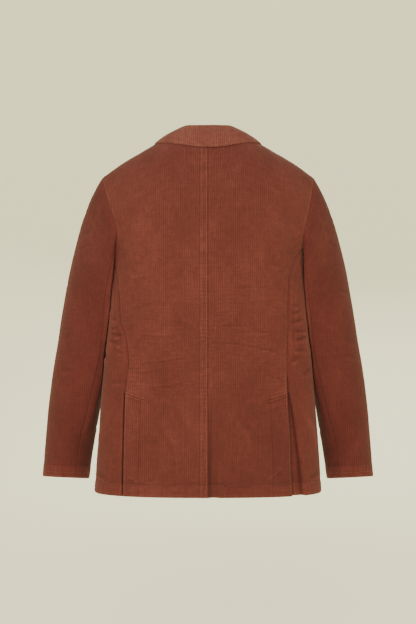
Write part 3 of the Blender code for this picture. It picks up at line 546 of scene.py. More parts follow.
def side_rows(side):
    """From the front seam back; below the vent's top the row runs on round the crease and under."""
    crease, recess = (curve(SLITS[side], "z", column) for column in ("crease", "depth"))
    mirror, firm = np.array([SIDES[side], 1.0, 1.0]), SLIT_FIRM[side]
    hollow, part = np.linspace(0.0, 1.0, 33)[:-1], np.linspace(1.0, 0.0, 24)[:-1]
    width = np.linspace(0.0, 1.0, 140)
    rows = []
    for z in steps(HEM_Z, VENT_TOP, [LAP_TOP, LAP_TOP + 0.0004]):
        edge, ends = float(crease(z)), (float(back_seam[side](z)), float(front_seam(z)))
        deep = float(recess(z)) * float(ease((VENT_TOP - z) / (VENT_TOP - LAP_TOP)))
        sunk = deep * (1.0 - ease((hollow - firm) / (1.0 - firm)))
        panel = [side_points(z, *ends, hollow * edge, 0.0, sunk)]
        panel.append(side_points(z, *ends, (1.0 - width) * edge, width))
        lapped = 0
        if z <= LAP_TOP + 1e-6:
            inset = np.maximum(deep * (1.0 - 0.6 * part), WALL + LAYER_GAP + 0.0004)
            panel.insert(0, side_points(z, *ends, -VENT_UNDERLAP * part, 0.0, inset))
            lapped = len(part)
        points = np.vstack(panel)[::-1] * mirror
        cloth = across(points, 0.0)
        seam = 0.5 * cloth[-1 - lapped]
        rows.append(Row(points, cloth - seam, seam))
    spread = np.linspace(0.0, 1.0, 36)
    tops = np.array([side_top(side, c) for c in spread])
    for climb in [*np.linspace(0.0, 1.0, 76)[1:-1], 0.98, 0.99, 0.995, 1.0]:
        heights = VENT_TOP + (tops - VENT_TOP) * climb
        ends = float(back_seam[side](heights[0])), float(front_seam(heights[-1]))
        edge = float(crease(VENT_TOP)) * (1.0 - climb)
        panel = [side_points(heights[0], *ends, 0.0, 0.0)]
        panel += [side_points(z, *ends, edge * (1.0 - c), c) for z, c in zip(heights, spread)]
        points = np.array(panel)[::-1] * mirror
        cloth = across(points, 0.0)
        rows.append(Row(points, cloth - 0.5 * cloth[-1]))
    return rows


def front_edge(z):
    """Distance of the front edge and roll line from the centre front, on the piece's own side."""
    if z >= BREAK_Z:
        t = (z - BREAK_Z) / (float(ridge(NECK_HALF)) - BREAK_Z)
        return -FRONT_OVERLAP + (NECK_HALF + FRONT_OVERLAP) * (t + 0.10 * t * (1.0 - t))
    if z >= CUTAWAY_Z:
        return -FRONT_OVERLAP
    t = (CUTAWAY_Z - z) / (CUTAWAY_Z - HEM_Z)
    return -FRONT_OVERLAP + CUTAWAY_X * (1.0 - math.sqrt(max(1.0 - t**2.2, 0.0)))


def under_inset(side, x):
    """The right front lies inside the left one near the centre front."""
    return (WALL + LAYER_GAP) * under(x, 0.052, 0.028) * (side == "right")


def front_rows(side):
    rows = []
    for z in steps(HEM_Z, JOIN_FRONT, stride=FRONT_STRIDE)[:-1]:
        x = np.linspace(front_edge(z), float(front_seam(z)), 240)
        rows.append(level_row(side, x, body_y(x, z, 1) - under_inset(side, x), z))
    for fraction in dome_fractions():
        inner, outer = (edge_on_row(JOIN_FRONT, fraction, edge) for edge in (front_edge, front_armhole))
        x = np.linspace(inner, outer, 240)
        z = JOIN_FRONT + fraction * (ridge(np.abs(x)) - JOIN_FRONT)
        rows.append(level_row(side, x, body_y(x, z, 1) - under_inset(side, x), z, fraction**2))
    return rows


# ---------------------------------------------------------------- sleeves
sleeve_at = [curve(SLEEVE, "z", key) for key in SLEEVE[0]._fields[1:]]


def leave(turn, key):
    """A smooth closed curve through a column of the cap's table, by turn."""
    values = np.array([getattr(row, key) for row in CAP])
    place = np.mod(turn, 1.0) * len(CAP)
    i = np.floor(place).astype(int)
    return catmull_rom(*(values[(i + k) % len(CAP)] for k in (-1, 0, 1, 2)), place - i)


def clear_of_body(points, share):
    """Points of a sleeve that would come too near the body's side rest on it instead."""
    x, y, z = np.abs(points[:, 0]), points[:, 1], points[:, 2]
    share = share * ease((-0.195 - z) / 0.030)
    for _ in range(3):
        middle = widest_y(z)
        back = y < middle
        a, b = half_width(z), np.where(back, depth[-1](z) + middle, depth[1](z) - middle)
        power = np.where(back, BACK_POWER, front_power(z))
        u, t = x / a, np.abs(y - middle) / b
        gx, gy = power / a * u ** (power - 1.0), power / b * t ** (power - 1.0) * np.where(back, -1.0, 1.0)
        steep = np.hypot(gx, gy)
        push = share * np.maximum(SLEEVE_REST - (u**power + t**power - 1.0) / steep, 0.0) / steep
        x, y = x + push * gx, y + push * gy
    return np.stack([np.sign(points[:, 0]) * x, y, z], axis=1)


def sleeve_ring(z, turns, sign):
    """A ring of the sleeve; its plane leans with the arm and tips forward below the elbow."""
    x, y, w, d, lean, square = (float(at(z)) for at in sleeve_at)
    tip = float(ease((-0.42 - z) / 0.15))
    c, s = np.cos(2 * math.pi * turns), np.sin(2 * math.pi * turns)
    power = 2.0 + 7.0 * square * ease(-c / 0.7) * ease(s / 0.3)
    forward = 1.0 + 0.25 * square * ease((0.5 - c) / 1.3) * ease(s / 0.5)
    grow = (np.abs(c) ** power + np.abs(s) ** power) ** (-1.0 / power)
    c, s = c * grow, s * grow * forward
    c = c - 0.27 * square * ease((s - 0.72) / 0.42) * ease(-c / 0.7)
    flat = math.hypot(1.0, lean)
    px, py, pz = x + w * c / flat, y - d * s, z + w * c * lean / flat + 0.12 * d * s * tip
    return clear_of_body(np.stack([sign * px, py, pz], axis=1), 1.0)


def armhole_edge(side, join, edge, face):
    """The armhole on the back or the front, from the join up to the shoulder point."""
    points = []
    for fraction in np.sin(np.linspace(0.0, math.pi / 2, ARMHOLE_POINTS)):
        x = edge_on_row(join, fraction, edge)
        z = join + fraction * (float(ridge(x)) - join)
        points.append((SIDES[side] * x, float(body_y(SIDES[side] * x, z, face)), z))
    return points


def armhole_loop(side):
    """The armhole from the shoulder point down the back, along the side and up the front."""
    ends = float(back_seam[side](JOIN_BACK[side])), float(front_seam(JOIN_FRONT))
    below = [
        side_points(float(side_top(side, c)), *ends, 0.0, c) * (SIDES[side], 1.0, 1.0)
        for c in np.linspace(0.0, 1.0, UNDERARM_POINTS + 1)[1:]
    ]
    back = armhole_edge(side, JOIN_BACK[side], back_armhole[side], -1)
    return np.array([*back[::-1], *below, *armhole_edge(side, JOIN_FRONT, front_armhole, 1)[1:-1]])


def sleeve_rows(side, part):
    """Rows of the top or the under sleeve: the cap from the armhole, then rings to the cuff."""
    sign, sewn, loop = SIDES[side], SLEEVE_SEAMS[side], armhole_loop(side)
    closed = np.vstack([loop, loop[:1]])
    arc = arc_length(closed)
    foot = arc[ARMHOLE_POINTS - 1 + int(round(UNDERARM_POINTS * sewn.foot))]
    around = np.where(arc <= foot, 0.5 * arc / foot, 0.5 + 0.5 * (arc - foot) / (arc[-1] - foot))
    if part == "top":
        turns, anchor = np.linspace(sewn.front - 1.0, sewn.hind, 360), 0.0
    else:
        turns, anchor = np.linspace(sewn.hind, sewn.front, 240), 0.5
    start = sample(np.mod(turns, 1.0), around, closed)
    first = SLEEVE[0].z
    ring = sleeve_ring(first, turns, sign)
    way = unit(np.stack([leave(turns, key) for key in "xyz"], axis=1) * (sign, 1.0, 1.0))
    settle = unit(sleeve_ring(first - 0.01, turns, sign) - ring) * leave(turns, "settle")[:, None]
    inward = unit(start * (-1.0, -1.0, 0.0))

    def measured(points):
        cloth = across(points, 1.0)
        return cloth - np.interp(anchor, turns, cloth)

    cloth = measured(ring)
    tuck = start - HEAD_TUCK * way + 0.0030 * inward
    rows = [Row(tuck, cloth), Row(0.5 * (start + tuck) + 0.0007 * inward, cloth)]
    for v in np.unique([*np.linspace(0.0, 1.0, 58), 0.006]):
        points = hermite(start, way * leave(turns, "pull")[:, None], ring, settle, v)
        rows.append(Row(clear_of_body(points, float(ease((v - 0.03) / 0.25))), cloth))
    for z in steps(SLEEVE[-1].z, first, stride=SLEEVE_STRIDE[part])[::-1][1:]:
        points = sleeve_ring(z, turns, sign)
        rows.append(Row(points, measured(points)))
    return rows


# ---------------------------------------------------------------- collar and lapels
def collar_value(key, t):
    values = [getattr(row, key) for row in COLLAR]
    i = min(int(t), len(values) - 2)
    before = values[i - 1] if i else values[1] * (-1.0 if key.endswith("_x") else 1.0)
    beyond = values[i + 2] if i + 2 < len(values) else 2 * values[i + 1] - values[i]
    return catmull_rom(before, values[i], values[i + 1], beyond, t - i)


def collar_profile(t):
    """The collar's face at a station: up the stand, over the roll and down the fall."""
    value = {key: collar_value(key, t) for key in COLLAR[0]._fields}

    def on_body(x, y, lift):
        spot = np.array([x, y, float(body_z(x, y))])
        return spot + lift * body_normal(*spot)

    neck = on_body(value["neck_x"], value["neck_y"], LAYER_GAP - 0.0003)
    edge = on_body(value["edge_x"], value["edge_y"], COLLAR_WALL + LAYER_GAP)
    fold = np.array([value["fold_x"], value["fold_y"], value["fold_z"]])
    up = -unit(unit(neck - fold) + unit(edge - fold))
    out = unit(edge - fold) - unit(neck - fold)
    out = unit(out - (out @ up) * up)
    r = value["roll"]
    inner, outer, swell = fold - out * r, fold + out * r, 0.0035 * out
    return np.array([
        neck,
        neck + (inner - neck) * 0.5,
        inner,
        fold - out * r * 0.65 + up * r * 0.75,
        fold + up * r,
        fold + out * r * 0.65 + up * r * 0.75,
        outer,
        outer + (edge - outer) * 0.33 + swell,
        outer + (edge - outer) * 0.70 + swell * 0.8,
        edge,
    ])


def lapel_point(side, z, run, lift, raised=0.0):
    """A point lifted off the front, at a distance run from the roll line, on the wearer's right."""
    part = max(run, 0.0) / float(lapel_width(z))
    x, pz = front_edge(z) + run, z - float(lapel_drop(z)) * part + raised
    y = float(body_y(x, pz, 1)) - float(under_inset(side, x))
    return np.array([x, y, pz]) + lift * body_normal(x, y, pz)


def collar_end():
    """The collar's face at the gorge: a low roll, then a fall level with the lapel."""
    low = [(0.0004, 0.0006), (0.0002, 0.0022), (0.0003, 0.0040), (0.0012, 0.0051), (0.0028, 0.0056)]
    reach = GORGE_SHARE * float(lapel_width(GORGE_Z))
    places = low + [(0.0050, 0.0057), (0.0080, 0.0055)]
    places += [(0.008 + f * (reach - 0.008), 0.0053 - 0.0020 * f) for f in (0.35, 0.70, 1.0)]
    return np.array([lapel_point("left", GORGE_Z, run, lift, SEAM_RAISE) for run, lift in places])


def refine(grid, count):
    """A smooth, evenly spaced column through each column of a grid's points."""
    grid = np.asarray(grid)
    last = len(grid) - 1
    grid = np.concatenate([[2 * grid[0] - grid[1]], grid, [2 * grid[-1] - grid[-2]]])
    fine = []
    for t in np.linspace(0.0, last, 12 * last + 1):
        i = min(int(t), last - 1)
        fine.append(catmull_rom(*grid[i : i + 4], t - i))
    fine = np.array(fine)
    arc = arc_length(fine[:, fine.shape[1] // 2])
    places = np.interp(np.linspace(0.0, arc[-1], count), arc, np.arange(len(fine)))
    low = np.minimum(places.astype(int), len(fine) - 2)
    share = (places - low)[:, None, None]
    return fine[low] * (1 - share) + fine[low + 1] * share


def collar_rows():
    last = len(COLLAR) - 1.0
    half = []
    for t in np.linspace(0.0, last, 64):
        row = collar_profile(t)
        half.append(row + float(ease(t - last + 1.0)) * (collar_end() - row))
    around = np.array([row * (-1.0, 1.0, 1.0) for row in half[:0:-1]] + half)
    rows = []
    for points in refine(around.transpose(1, 0, 2), 40):
        cloth = across(points, 1.0)
        rows.append(Row(points, cloth - cloth[len(half) - 1]))
    return rows


def lapel_run(z, f):
    width = float(lapel_width(z))
    near = min(0.012, 0.3 * width)
    return near + f * (width - near)


def lapel_foot(side, f):
    """Height of a flat column's foot. The right lapel's foot follows the left one's roll line."""
    foot = LAPEL_FOOT[side]
    z = foot.z
    for _ in range(30):
        z = foot.z - foot.slope * lapel_run(z, f)
    return z


def lapel_rows(side):
    foot = LAPEL_FOOT[side]
    rolled = [(-0.0031, -0.0014), (-0.0040, 0.0010), (-0.0016, 0.0038)]
    flat = [(f, 0.0050 - 0.0018 * f) for f in (0.0, 0.2, 0.35, 0.6, 0.82, 1.0)]
    grid = []
    for v in np.linspace(0.0, 1.0, 14):
        row = []
        for run, lift in rolled:
            low = foot.z - foot.slope * run
            row.append(lapel_point(side, low + v * (GORGE_Z - low), run, lift))
        for f, lift in flat:
            low = lapel_foot(side, f)
            z = low + v * (GORGE_Z - low)
            row.append(lapel_point(side, z, lapel_run(z, f), lift))
        grid.append(np.array(row) * (SIDES[side], 1.0, 1.0))
    grid = refine(refine(grid, 46).transpose(1, 0, 2), 90).transpose(1, 0, 2)
    return [Row(points, across(points, 1.0, -0.006)) for points in grid]


# ---------------------------------------------------------------- weaving a panel from its rows
def stations(low, high):
    """Places across the cloth, a few on every wale, and the wale's height there."""
    wales = np.arange(math.floor(low / PITCH), math.ceil(high / PITCH) + 1)
    at = ((wales[:, None] + np.array([r.place for r in RIDGES])) * PITCH).ravel()
    keep = (at > low) & (at < high)
    return at[keep], np.tile([r.height for r in RIDGES], len(wales))[keep]


def lay(rows, at, guard):
    """Points of the rows at the stations; where a row ends early, its last point closes the line."""
    points, places, index, ends = [], [], [], []
    count = 0
    for row in rows:
        low, high = row.across[0], row.across[-1]
        inside = (at > low + guard) & (at < high - guard)
        s = np.concatenate([[low], at[inside], [high]])
        points.append(sample(s, row.across, row.points))
        places.append(s)
        first = int(np.argmax(inside)) if inside.any() else 0
        used = np.full(len(at) + 2, count)
        filled = int(inside.sum())
        used[first + 1 : first + 1 + filled] = count + 1 + np.arange(filled)
        used[first + 1 + filled :] = count + 1 + filled
        index.append(used)
        ends.append((count, count + 1 + filled))
        count += filled + 2
    return np.vstack(points), np.concatenate(places), np.array(index), np.array(ends)


def grid_faces(index):
    """Faces between the rows; the ones that close to nothing are left out."""
    a, b, c, d = index[:-1, :-1], index[:-1, 1:], index[1:, 1:], index[1:, :-1]
    quads = np.stack([a, b, c, d], axis=-1).reshape(-1, 4)
    same = quads == np.roll(quads, -1, axis=1)
    lost = same.sum(axis=1)
    whole = [tuple(q) for q in quads[lost == 0].tolist()]
    for q, s in zip(quads[lost == 1].tolist(), same[lost == 1].tolist()):
        whole.append(tuple(v for v, gone in zip(q, s) if not gone))
    return whole


def point_normals(points, faces):
    """Area-weighted normals from triangles and quads."""
    normals = np.zeros_like(points)
    for size in (3, 4):
        f = np.array([q for q in faces if len(q) == size])
        if not len(f):
            continue
        n = np.cross(points[f[:, 2]] - points[f[:, 0]], points[f[:, -1]] - points[f[:, 1]])
        for k in range(size):
            np.add.at(normals, f[:, k], n)
    return normals / np.maximum(np.linalg.norm(normals, axis=1), 1e-12)[:, None]


def zip_lines(a, b, s_a, s_b):
    """Triangles between two lines of points that run the same way."""
    faces, i, j = [], 0, 0
    while i < len(a) - 1 or j < len(b) - 1:
        if j == len(b) - 1 or (i < len(a) - 1 and s_a[i + 1] <= s_b[j + 1]):
            faces.append((a[i], a[i + 1], b[j]))
            i += 1
        else:
            faces.append((a[i], b[j + 1], b[j]))
            j += 1
    return faces


def wavy(v, seed):
    """An uneven wave along a seam, between -1 and 1."""
    bent = v / 0.0125 + 0.55 * np.sin(v / 0.017 + seed) + 0.9 * np.sin(v / 0.049 + 2.3 * seed)
    swell = 0.55 + 0.45 * np.sin(v / 0.083 + 1.7 * seed) * np.sin(v / 0.031 + 0.6 * seed)
    return np.sin(bent) * swell


def crumple(s, v, seed):
    """Soft unevenness of worn cloth, between about -1 and 1, with no straight repeats."""
    a = s / 0.0130 + 1.1 * np.sin(v / 0.0310 + seed) + 0.8 * np.sin(v / 0.0117 - 1.4 * seed)
    b = v / 0.0160 + 1.2 * np.sin(s / 0.0270 + 2.1 * seed) + 0.7 * np.sin(s / 0.0094 + seed)
    large = np.sin(s / 0.0410 + 1.9 * seed + np.sin(v / 0.061))
    return 0.55 * np.sin(a) * np.sin(b) + 0.65 * large * np.sin(v / 0.0520 + np.sin(s / 0.047 + seed))


# Edge fields: metres in, metres of pucker, painted shade darkening the ditch along the edge, rubbed nap.
Edge = namedtuple("Edge", "dip pucker ditch rub")    # metres in, metres of pucker, dark ditch, rubbed nap
SEAM = Edge(0.0011, 0.00040, 0.50, 0.16)
SOFT_SEAM = Edge(0.0005, 0.00020, 0.16, 0.0)
FREE = Edge(0.0007, 0.00020, 0.0, 0.26)


def creased(creases, s, z):
    """Relief of the creases, the crests beside them, lightened as rubbed nap and painted highlight, and the
    painted shade in their troughs.
    """
    relief, crest, trough = np.zeros((3, *s.shape))
    for c in creases:
        run = np.array([c.across1 - c.across0, c.z1 - c.z0])
        length = math.sqrt(run @ run)
        t = ((s - c.across0) * run[0] + (z - c.z0) * run[1]) / length**2
        off = ((s - c.across0) * run[1] - (z - c.z0) * run[0]) / length
        off = off + 0.10 * length * np.sin(math.pi * np.clip(t, 0, 1))
        off = off + 0.0012 * np.sin(9.0 * t + 300.0 * c.width)
        taper = ease(t / 0.30) * under(t, 1.0, 0.40)
        dip, rise = line(off, c.width), line(off / c.width - 1.7, 1.0)
        relief += CREASE_DEPTH * c.depth * taper * (0.75 * rise - dip)
        # Painted highlight with rubbed nap on the crest, painted shade in the trough.
        crest += 300.0 * c.depth * taper * rise
        trough += 240.0 * c.depth * taper * dip
    return relief, crest, trough


class Panel:
    """A woven piece with its rows, so that stitching can be laid on it."""

    def __init__(self, piece, rows, along, smooth, faces):
        self.piece, self.rows, self.along = piece, rows, along
        self.tree = BVHTree.FromPolygons(smooth.tolist(), faces)

    def place(self, s, v):
        """A point and normal of the cloth at a distance across, and a distance along."""
        r = int(np.clip(np.searchsorted(self.along, v) - 1, 0, len(self.rows) - 2))
        t = float(np.clip((v - self.along[r]) / (self.along[r + 1] - self.along[r]), 0.0, 1.0))
        low, high = (sample(s, row.across, row.points) for row in self.rows[r : r + 2])
        spot, normal, _, _ = self.tree.find_nearest(Vector((1 - t) * low + t * high))
        return np.array(spot), np.array(normal)

    def end(self, v, last):
        """Distance across of the piece's edge at a distance along."""
        return float(np.interp(v, self.along, [row.across[-1 if last else 0] for row in self.rows]))

    def across_line(self, v, inset=0.002, count=60):
        low, high = self.end(v, False) + inset, self.end(v, True) - inset
        return [self.place(s, v) for s in np.linspace(low, high, count)]

    def along_line(self, inset, v0, v1, last=False, count=80):
        inset = -inset if last else inset
        return [self.place(self.end(v, last) + inset, v) for v in np.linspace(v0, v1, count)]


def weave(name, rows, wall, edges, outward, extra):
    """A closed sheet of corduroy over the rows; edges are for its two ends and its first and last row."""
    at, rise = stations(min(row.across[0] for row in rows), max(row.across[-1] for row in rows))
    outer, s, index, ends = lay(rows, at, FACE_GUARD)
    faces = grid_faces(index)
    along = arc_length([row.points[len(row.points) // 2] for row in rows])
    row_of = np.repeat(np.arange(len(rows)), ends[:, 1] - ends[:, 0] + 1)
    v, height = along[row_of], np.interp(s, at, rise)
    first, last = (np.array([row.across[k] for row in rows])[row_of] for k in (0, -1))
    seam = np.array([row.across[-1] if row.seam is None else row.seam for row in rows])[row_of]
    rounded = [s - first, last - s, v, along[-1] - v]
    normals = point_normals(outer, faces)
    turned = -1.0 if normals[ends[len(rows) // 2].sum() // 2] @ np.array(outward) < 0 else 1.0
    normals *= turned

    seed = 0.37 * sum(ord(letter) for letter in name)
    uneven = crumple(s, v, seed)
    fine = np.sin(v / 0.0013 + 1.6 * np.sin(s / 0.0190 + seed) + 2.2 * np.sin(s / 0.0530 + v / 0.04))
    fine = fine * ease(0.5 + 0.6 * np.sin(s / 0.0170 + 2.0 * seed) * np.sin(v / 0.0360 + seed))
    fine = fine * (0.5 + 0.8 * line(outer[:, 2] + 0.40, 0.10))
    creases = CREASES.get(name.removeprefix("cloth_"), ())
    folds, crest, trough = creased(creases, seam - s if name.startswith("cloth_side") else s, outer[:, 2])
    relief = CRUMPLE * uneven + RIPPLE * fine + folds
    # Crests of the creases, the crumple and the ripples are lightened as painted highlight, the creases' also
    # as rubbed nap; troughs and hollows are darkened as painted shade.
    wear = crest + 0.16 * np.maximum(uneven, 0.0) + 0.10 * fine
    ditch = trough + 0.10 * np.maximum(-uneven, 0.0)
    quiet = np.ones(s.shape)
    for k, (edge, distance) in enumerate(zip(edges, rounded)):
        relief -= edge.dip * line(distance, 0.0020)
        relief += edge.pucker * wavy(v if k < 2 else s, seed + k) * line(distance, 0.010)
        quiet *= 1.0 - 0.85 * line(distance, 0.0012)
        # Along each edge rubbed nap lightens the cloth, and painted shade darkens the ditch.
        wear += edge.rub * line(distance - 0.0015, 0.0030)
        ditch += edge.ditch * line(distance, 0.0013)
    # Each panel adds relief, wear with painted highlights, and painted shade, which lightens as painted light
    # where it is below zero.
    more, worn_and_lit, dark = extra(s, outer, v, rounded, seam)
    relief, wear, ditch = relief + more, np.clip(wear + worn_and_lit, 0.0, 1.0), np.clip(ditch + dark, -1.0, 1.0)
    smooth = outer + normals * relief[:, None]
    woven = smooth + normals * (WALE_HEIGHT * (height * quiet - 0.5))[:, None]

    inner, s_in, index_in, ends_in = lay(rows, at[:: len(RIDGES)], BACK_GUARD)
    faces_in = grid_faces(index_in)
    row_in = np.repeat(np.arange(len(rows)), ends_in[:, 1] - ends_in[:, 0] + 1)
    pushed = np.concatenate([
        np.interp(s_in[row_in == r], s[row_of == r], relief[row_of == r]) for r in range(len(rows))
    ])
    lined = inner + point_normals(inner, faces_in) * turned * (np.maximum(pushed, -0.004) - wall)[:, None]
    start, hull = len(woven), faces
    faces = faces + [tuple(i + start for i in reversed(f)) for f in faces_in]
    for side in (0, 1):
        for r in range(len(rows) - 1):
            q = (ends[r, side], ends[r + 1, side], ends_in[r + 1, side] + start, ends_in[r, side] + start)
            faces.append(q[::-1] if side else q)
    for r in (0, len(rows) - 1):
        a, b = (np.arange(e[r, 0], e[r, 1] + 1) for e in (ends, ends_in))
        strip = zip_lines(a.tolist(), (b + start).tolist(), s[a], s_in[b])
        faces += strip if r else [t[::-1] for t in strip]
    if turned < 0:
        faces, hull = ([f[::-1] for f in group] for group in (faces, hull))
    plain = np.full(len(inner), 0.75)
    cloth = np.vstack([np.stack([s, v, height], axis=1), np.stack([s_in, along[row_in], plain], axis=1)])
    # The wear attribute holds wear with painted highlights, then painted shade, then the wrong side's mask.
    marks = np.vstack([np.stack([wear, ditch, 0.0 * s], axis=1), np.tile([0.0, 0.0, 1.0], (len(inner), 1))])
    piece = add_piece(name, np.vstack([woven, lined]), faces, {"cloth": cloth, "wear": marks})
    return Panel(piece, rows, along, smooth, hull)


def add_piece(name, points, faces, attributes=None):
    mesh = bpy.data.meshes.new(name)
    mesh.from_pydata(points.tolist(), [], [tuple(int(i) for i in f) for f in faces])
    mesh.update()
    mesh.shade_smooth()
    for key, values in (attributes or {}).items():
        mesh.attributes.new(key, "FLOAT_VECTOR", "POINT").data.foreach_set("vector", values.ravel())
    piece = bpy.data.objects.new(name, mesh)
    bpy.context.scene.collection.objects.link(piece)
    return piece


# ---------------------------------------------------------------- what each panel carries
def hem(v, s, seed):
    """The turned-up hem: stitches on its line, a slightly thicker band below, pulls above."""
    relief = stitched(v - HEM, s, seed, 0.0005, 0.0006) + 0.0005 * under(v, 0.0240, 0.002)
    relief -= 0.0006 * line(v - 0.0300, 0.0035) * (0.6 + 0.6 * wavy(s, seed + 1.1))
    uneven = 0.7 + 0.5 * wavy(s, seed + 0.4)
    # The band below the stitches is lighter as wear, with a painted highlight on its ridge; painted shade lies
    # along the stitch line and in the pull above.
    wear = 0.16 * under(v, 0.0245, 0.003) + 0.16 * uneven * line(v - 0.0232, 0.0012)
    return relief, wear, uneven * (0.22 * line(v - 0.0264, 0.0014) + 0.10 * line(v - 0.0310, 0.0040))


def stitched(distance, along, seed, pucker=0.00035, dip=0.0005):
    """A row of stitches pulls a fine line into the cloth and puckers it beside the line."""
    return pucker * wavy(along, seed) * line(distance, 0.007) - dip * line(distance, 0.0014)


def on_back(side, s, points, v, rounded, seam):
    edge, z = rounded[1], points[:, 2]
    relief, wear, dark = hem(v, s, 3.1)
    crease_above = under(z, VENT_CREASE_TOP, 0.020)
    vent = under(z, VENT_TOP, 0.004)
    if side == "left":                                    # the raised strip of the lapped seam
        strip = over(s, 0.0006, 0.0010) * under(s, STRIP_WIDTH + 0.0004, 0.0012)
        ladder = np.sin(v / 0.00115 + 1.3 * np.sin(v / 0.014)) * strip
        relief += STRIP_RISE * strip + 0.0005 * wavy(v, 1.9) * strip + 0.00025 * ladder
        relief -= 0.0005 * line(s - STRIP_WIDTH - 0.0006, 0.0011)
        # The strip's stitch lines and ladder of puckers are lightened as rubbed nap and painted highlight; a
        # painted shadow lies beside its raised edge, and a darker line runs down its middle.
        wear += 0.14 * line(s - 0.0026, 0.0016) + 0.24 * line(s - 0.0136, 0.0014)
        wear += (0.09 + 0.14 * ladder) * strip
        dark += 0.16 * line(s - STRIP_WIDTH - 0.0008, 0.0010) + 0.14 * line(s - 0.0075, 0.0020)
    else:                                                 # the soft fold beside it, and the vent's crease
        low = under(z, -0.500, 0.160)
        relief -= 0.0040 * low * line(s - 0.0062, 0.0048)
        # Painted shade in the fold; painted light along the centre seam, fading out near the hem. The right
        # half is painted darker as shade, more so below the waist. Above the vent a painted shadow line runs
        # along the back's edge, with a painted highlight beside it.
        dark += 0.50 * low * line(s - 0.0050, 0.0042) + (0.30 * low - 0.25) * line(s, 0.0016)
        dark += 0.04 + 0.15 * under(z, -0.46, 0.10)
        dark += 0.75 * line(edge, 0.0015) * crease_above
        wear += 0.30 * line(edge - 0.0045, 0.0018) * crease_above * (1.0 - vent)
    facing = VENT_FACING[side]
    # Painted shade beside the vent facing's ridge; the vent's edge is lightened as rubbed nap and painted
    # highlight.
    relief += 0.00045 * vent * line(edge - facing, 0.0018)
    dark += 0.22 * vent * line(edge - facing - 0.0026, 0.0016)
    wear += 0.35 * vent * line(edge - 0.0012, 0.0016)
    reach = under(edge, 0.050, 0.014) * over(edge, 0.001, 0.003)
    # Each slanted bar is lightened as painted highlight, with painted shade below it.
    for drop, strength in VENT_BARS:
        slant = (VENT_TOP - z) - drop - 0.30 * edge
        bar, below = (strength * line(slant, 0.0017) * reach, strength * reach)
        relief += 0.0011 * bar - 0.0008 * below * line(slant - 0.0034, 0.0016)
        wear += 0.70 * bar
        dark += 0.50 * below * line(slant - 0.0034, 0.0014)
    high = np.flatnonzero(z > -0.040)                     # the shade under the collar's edge
    collar_edge = collar_rows()[-1].points
    gap = np.linalg.norm(points[high][:, None, :] - collar_edge[None, :, :], axis=2).min(axis=1)
    dark[high] += 0.85 * line(gap, 0.0026)
    armhole = over(z, JOIN_BACK[side], 0.010)
    relief += armhole * (0.0011 * line(edge, 0.0020) + 0.0006 * line(edge - 0.0050, 0.0036))
    # A painted highlight just inside the armhole's edge and painted light on the edge itself; the back is
    # painted darker towards the hem, as shade.
    wear += 0.07 * armhole * line(edge - 0.0045, 0.0025)
    dark += 0.10 * (1.0 - ease(v / 0.30)) - 0.42 * armhole * line(edge, 0.0020)
    relief += 0.0006 * line(edge - 0.022, 0.014) * over(z, -0.50, 0.05) * wavy(v + 0.4 * s, 2.7)
    return relief, wear, dark


def on_side(side, s, points, v, rounded, seam):
    z, past = points[:, 2], seam - s
    relief, wear, dark = hem(v, s, 5.3)
    upper = over(z, -0.45, 0.06)
    puckered, band = wavy(v + 0.5 * past, 6.1), upper * line(past - 0.012, 0.010)
    relief += 0.0013 * band * puckered
    # The puckers' crests are lightened as painted highlight, their troughs darkened as painted shade.
    wear += 0.30 * band * np.maximum(puckered, 0.0)
    dark += 0.22 * band * np.maximum(-puckered, 0.0)
    relief += upper * (0.0008 * line(past - 0.0190, 0.0032) + 0.0006 * line(past - 0.0075, 0.0026))
    # Painted highlights on the two ridges beside the seam.
    wear += upper * (0.34 * line(past - 0.0190, 0.0022) + 0.26 * line(past - 0.0075, 0.0018))
    facing_sleeve = over(z, -0.455, 0.030) * over(np.abs(points[:, 0]), 0.196, 0.008) * (points[:, 1] < 0.0)
    # The side panel is painted darker as shade, and lighter as painted light where it faces the sleeve.
    dark += SIDE_PAINTED_SHADE[side] - 0.22 * facing_sleeve
    vented = under(z, VENT_TOP, 0.004)
    fold = curve(SLITS[side], "z", "crease")(z)
    if side == "right":
        crease_above = under(z, VENT_CREASE_TOP, 0.020) * (1.0 - vented)
        # A painted shadow line along the crease above the vent.
        dark += 0.85 * line(past, 0.0020) * crease_above
        relief -= 0.0012 * line(past, 0.0030) * crease_above
    else:
        # The closed vent's gap is painted dark, as shade.
        dark += vented * under(past, fold, 0.35 * fold + 0.0004) * over(past, -0.012, 0.006)
    # Painted shade along the back's edge and down the vent's hollow, and a painted highlight on the crease's
    # edge.
    dark += vented * 0.9 * line(past - 0.0012, 0.0030)
    dark += vented * 0.55 * line(past - fold * 0.80, 0.12 * fold + 0.001)
    wear += 0.45 * vented * line(past - fold - 0.0022, 0.0022)
    return relief, wear, dark


def on_front(s, points, v, rounded, seam):
    relief, wear, dark = hem(v, s, 7.7)
    relief += stitched(rounded[0] - TOPSTITCH, v, 2.6, 0.0002)
    return relief, wear + 0.20 * line(rounded[0], 0.005), dark


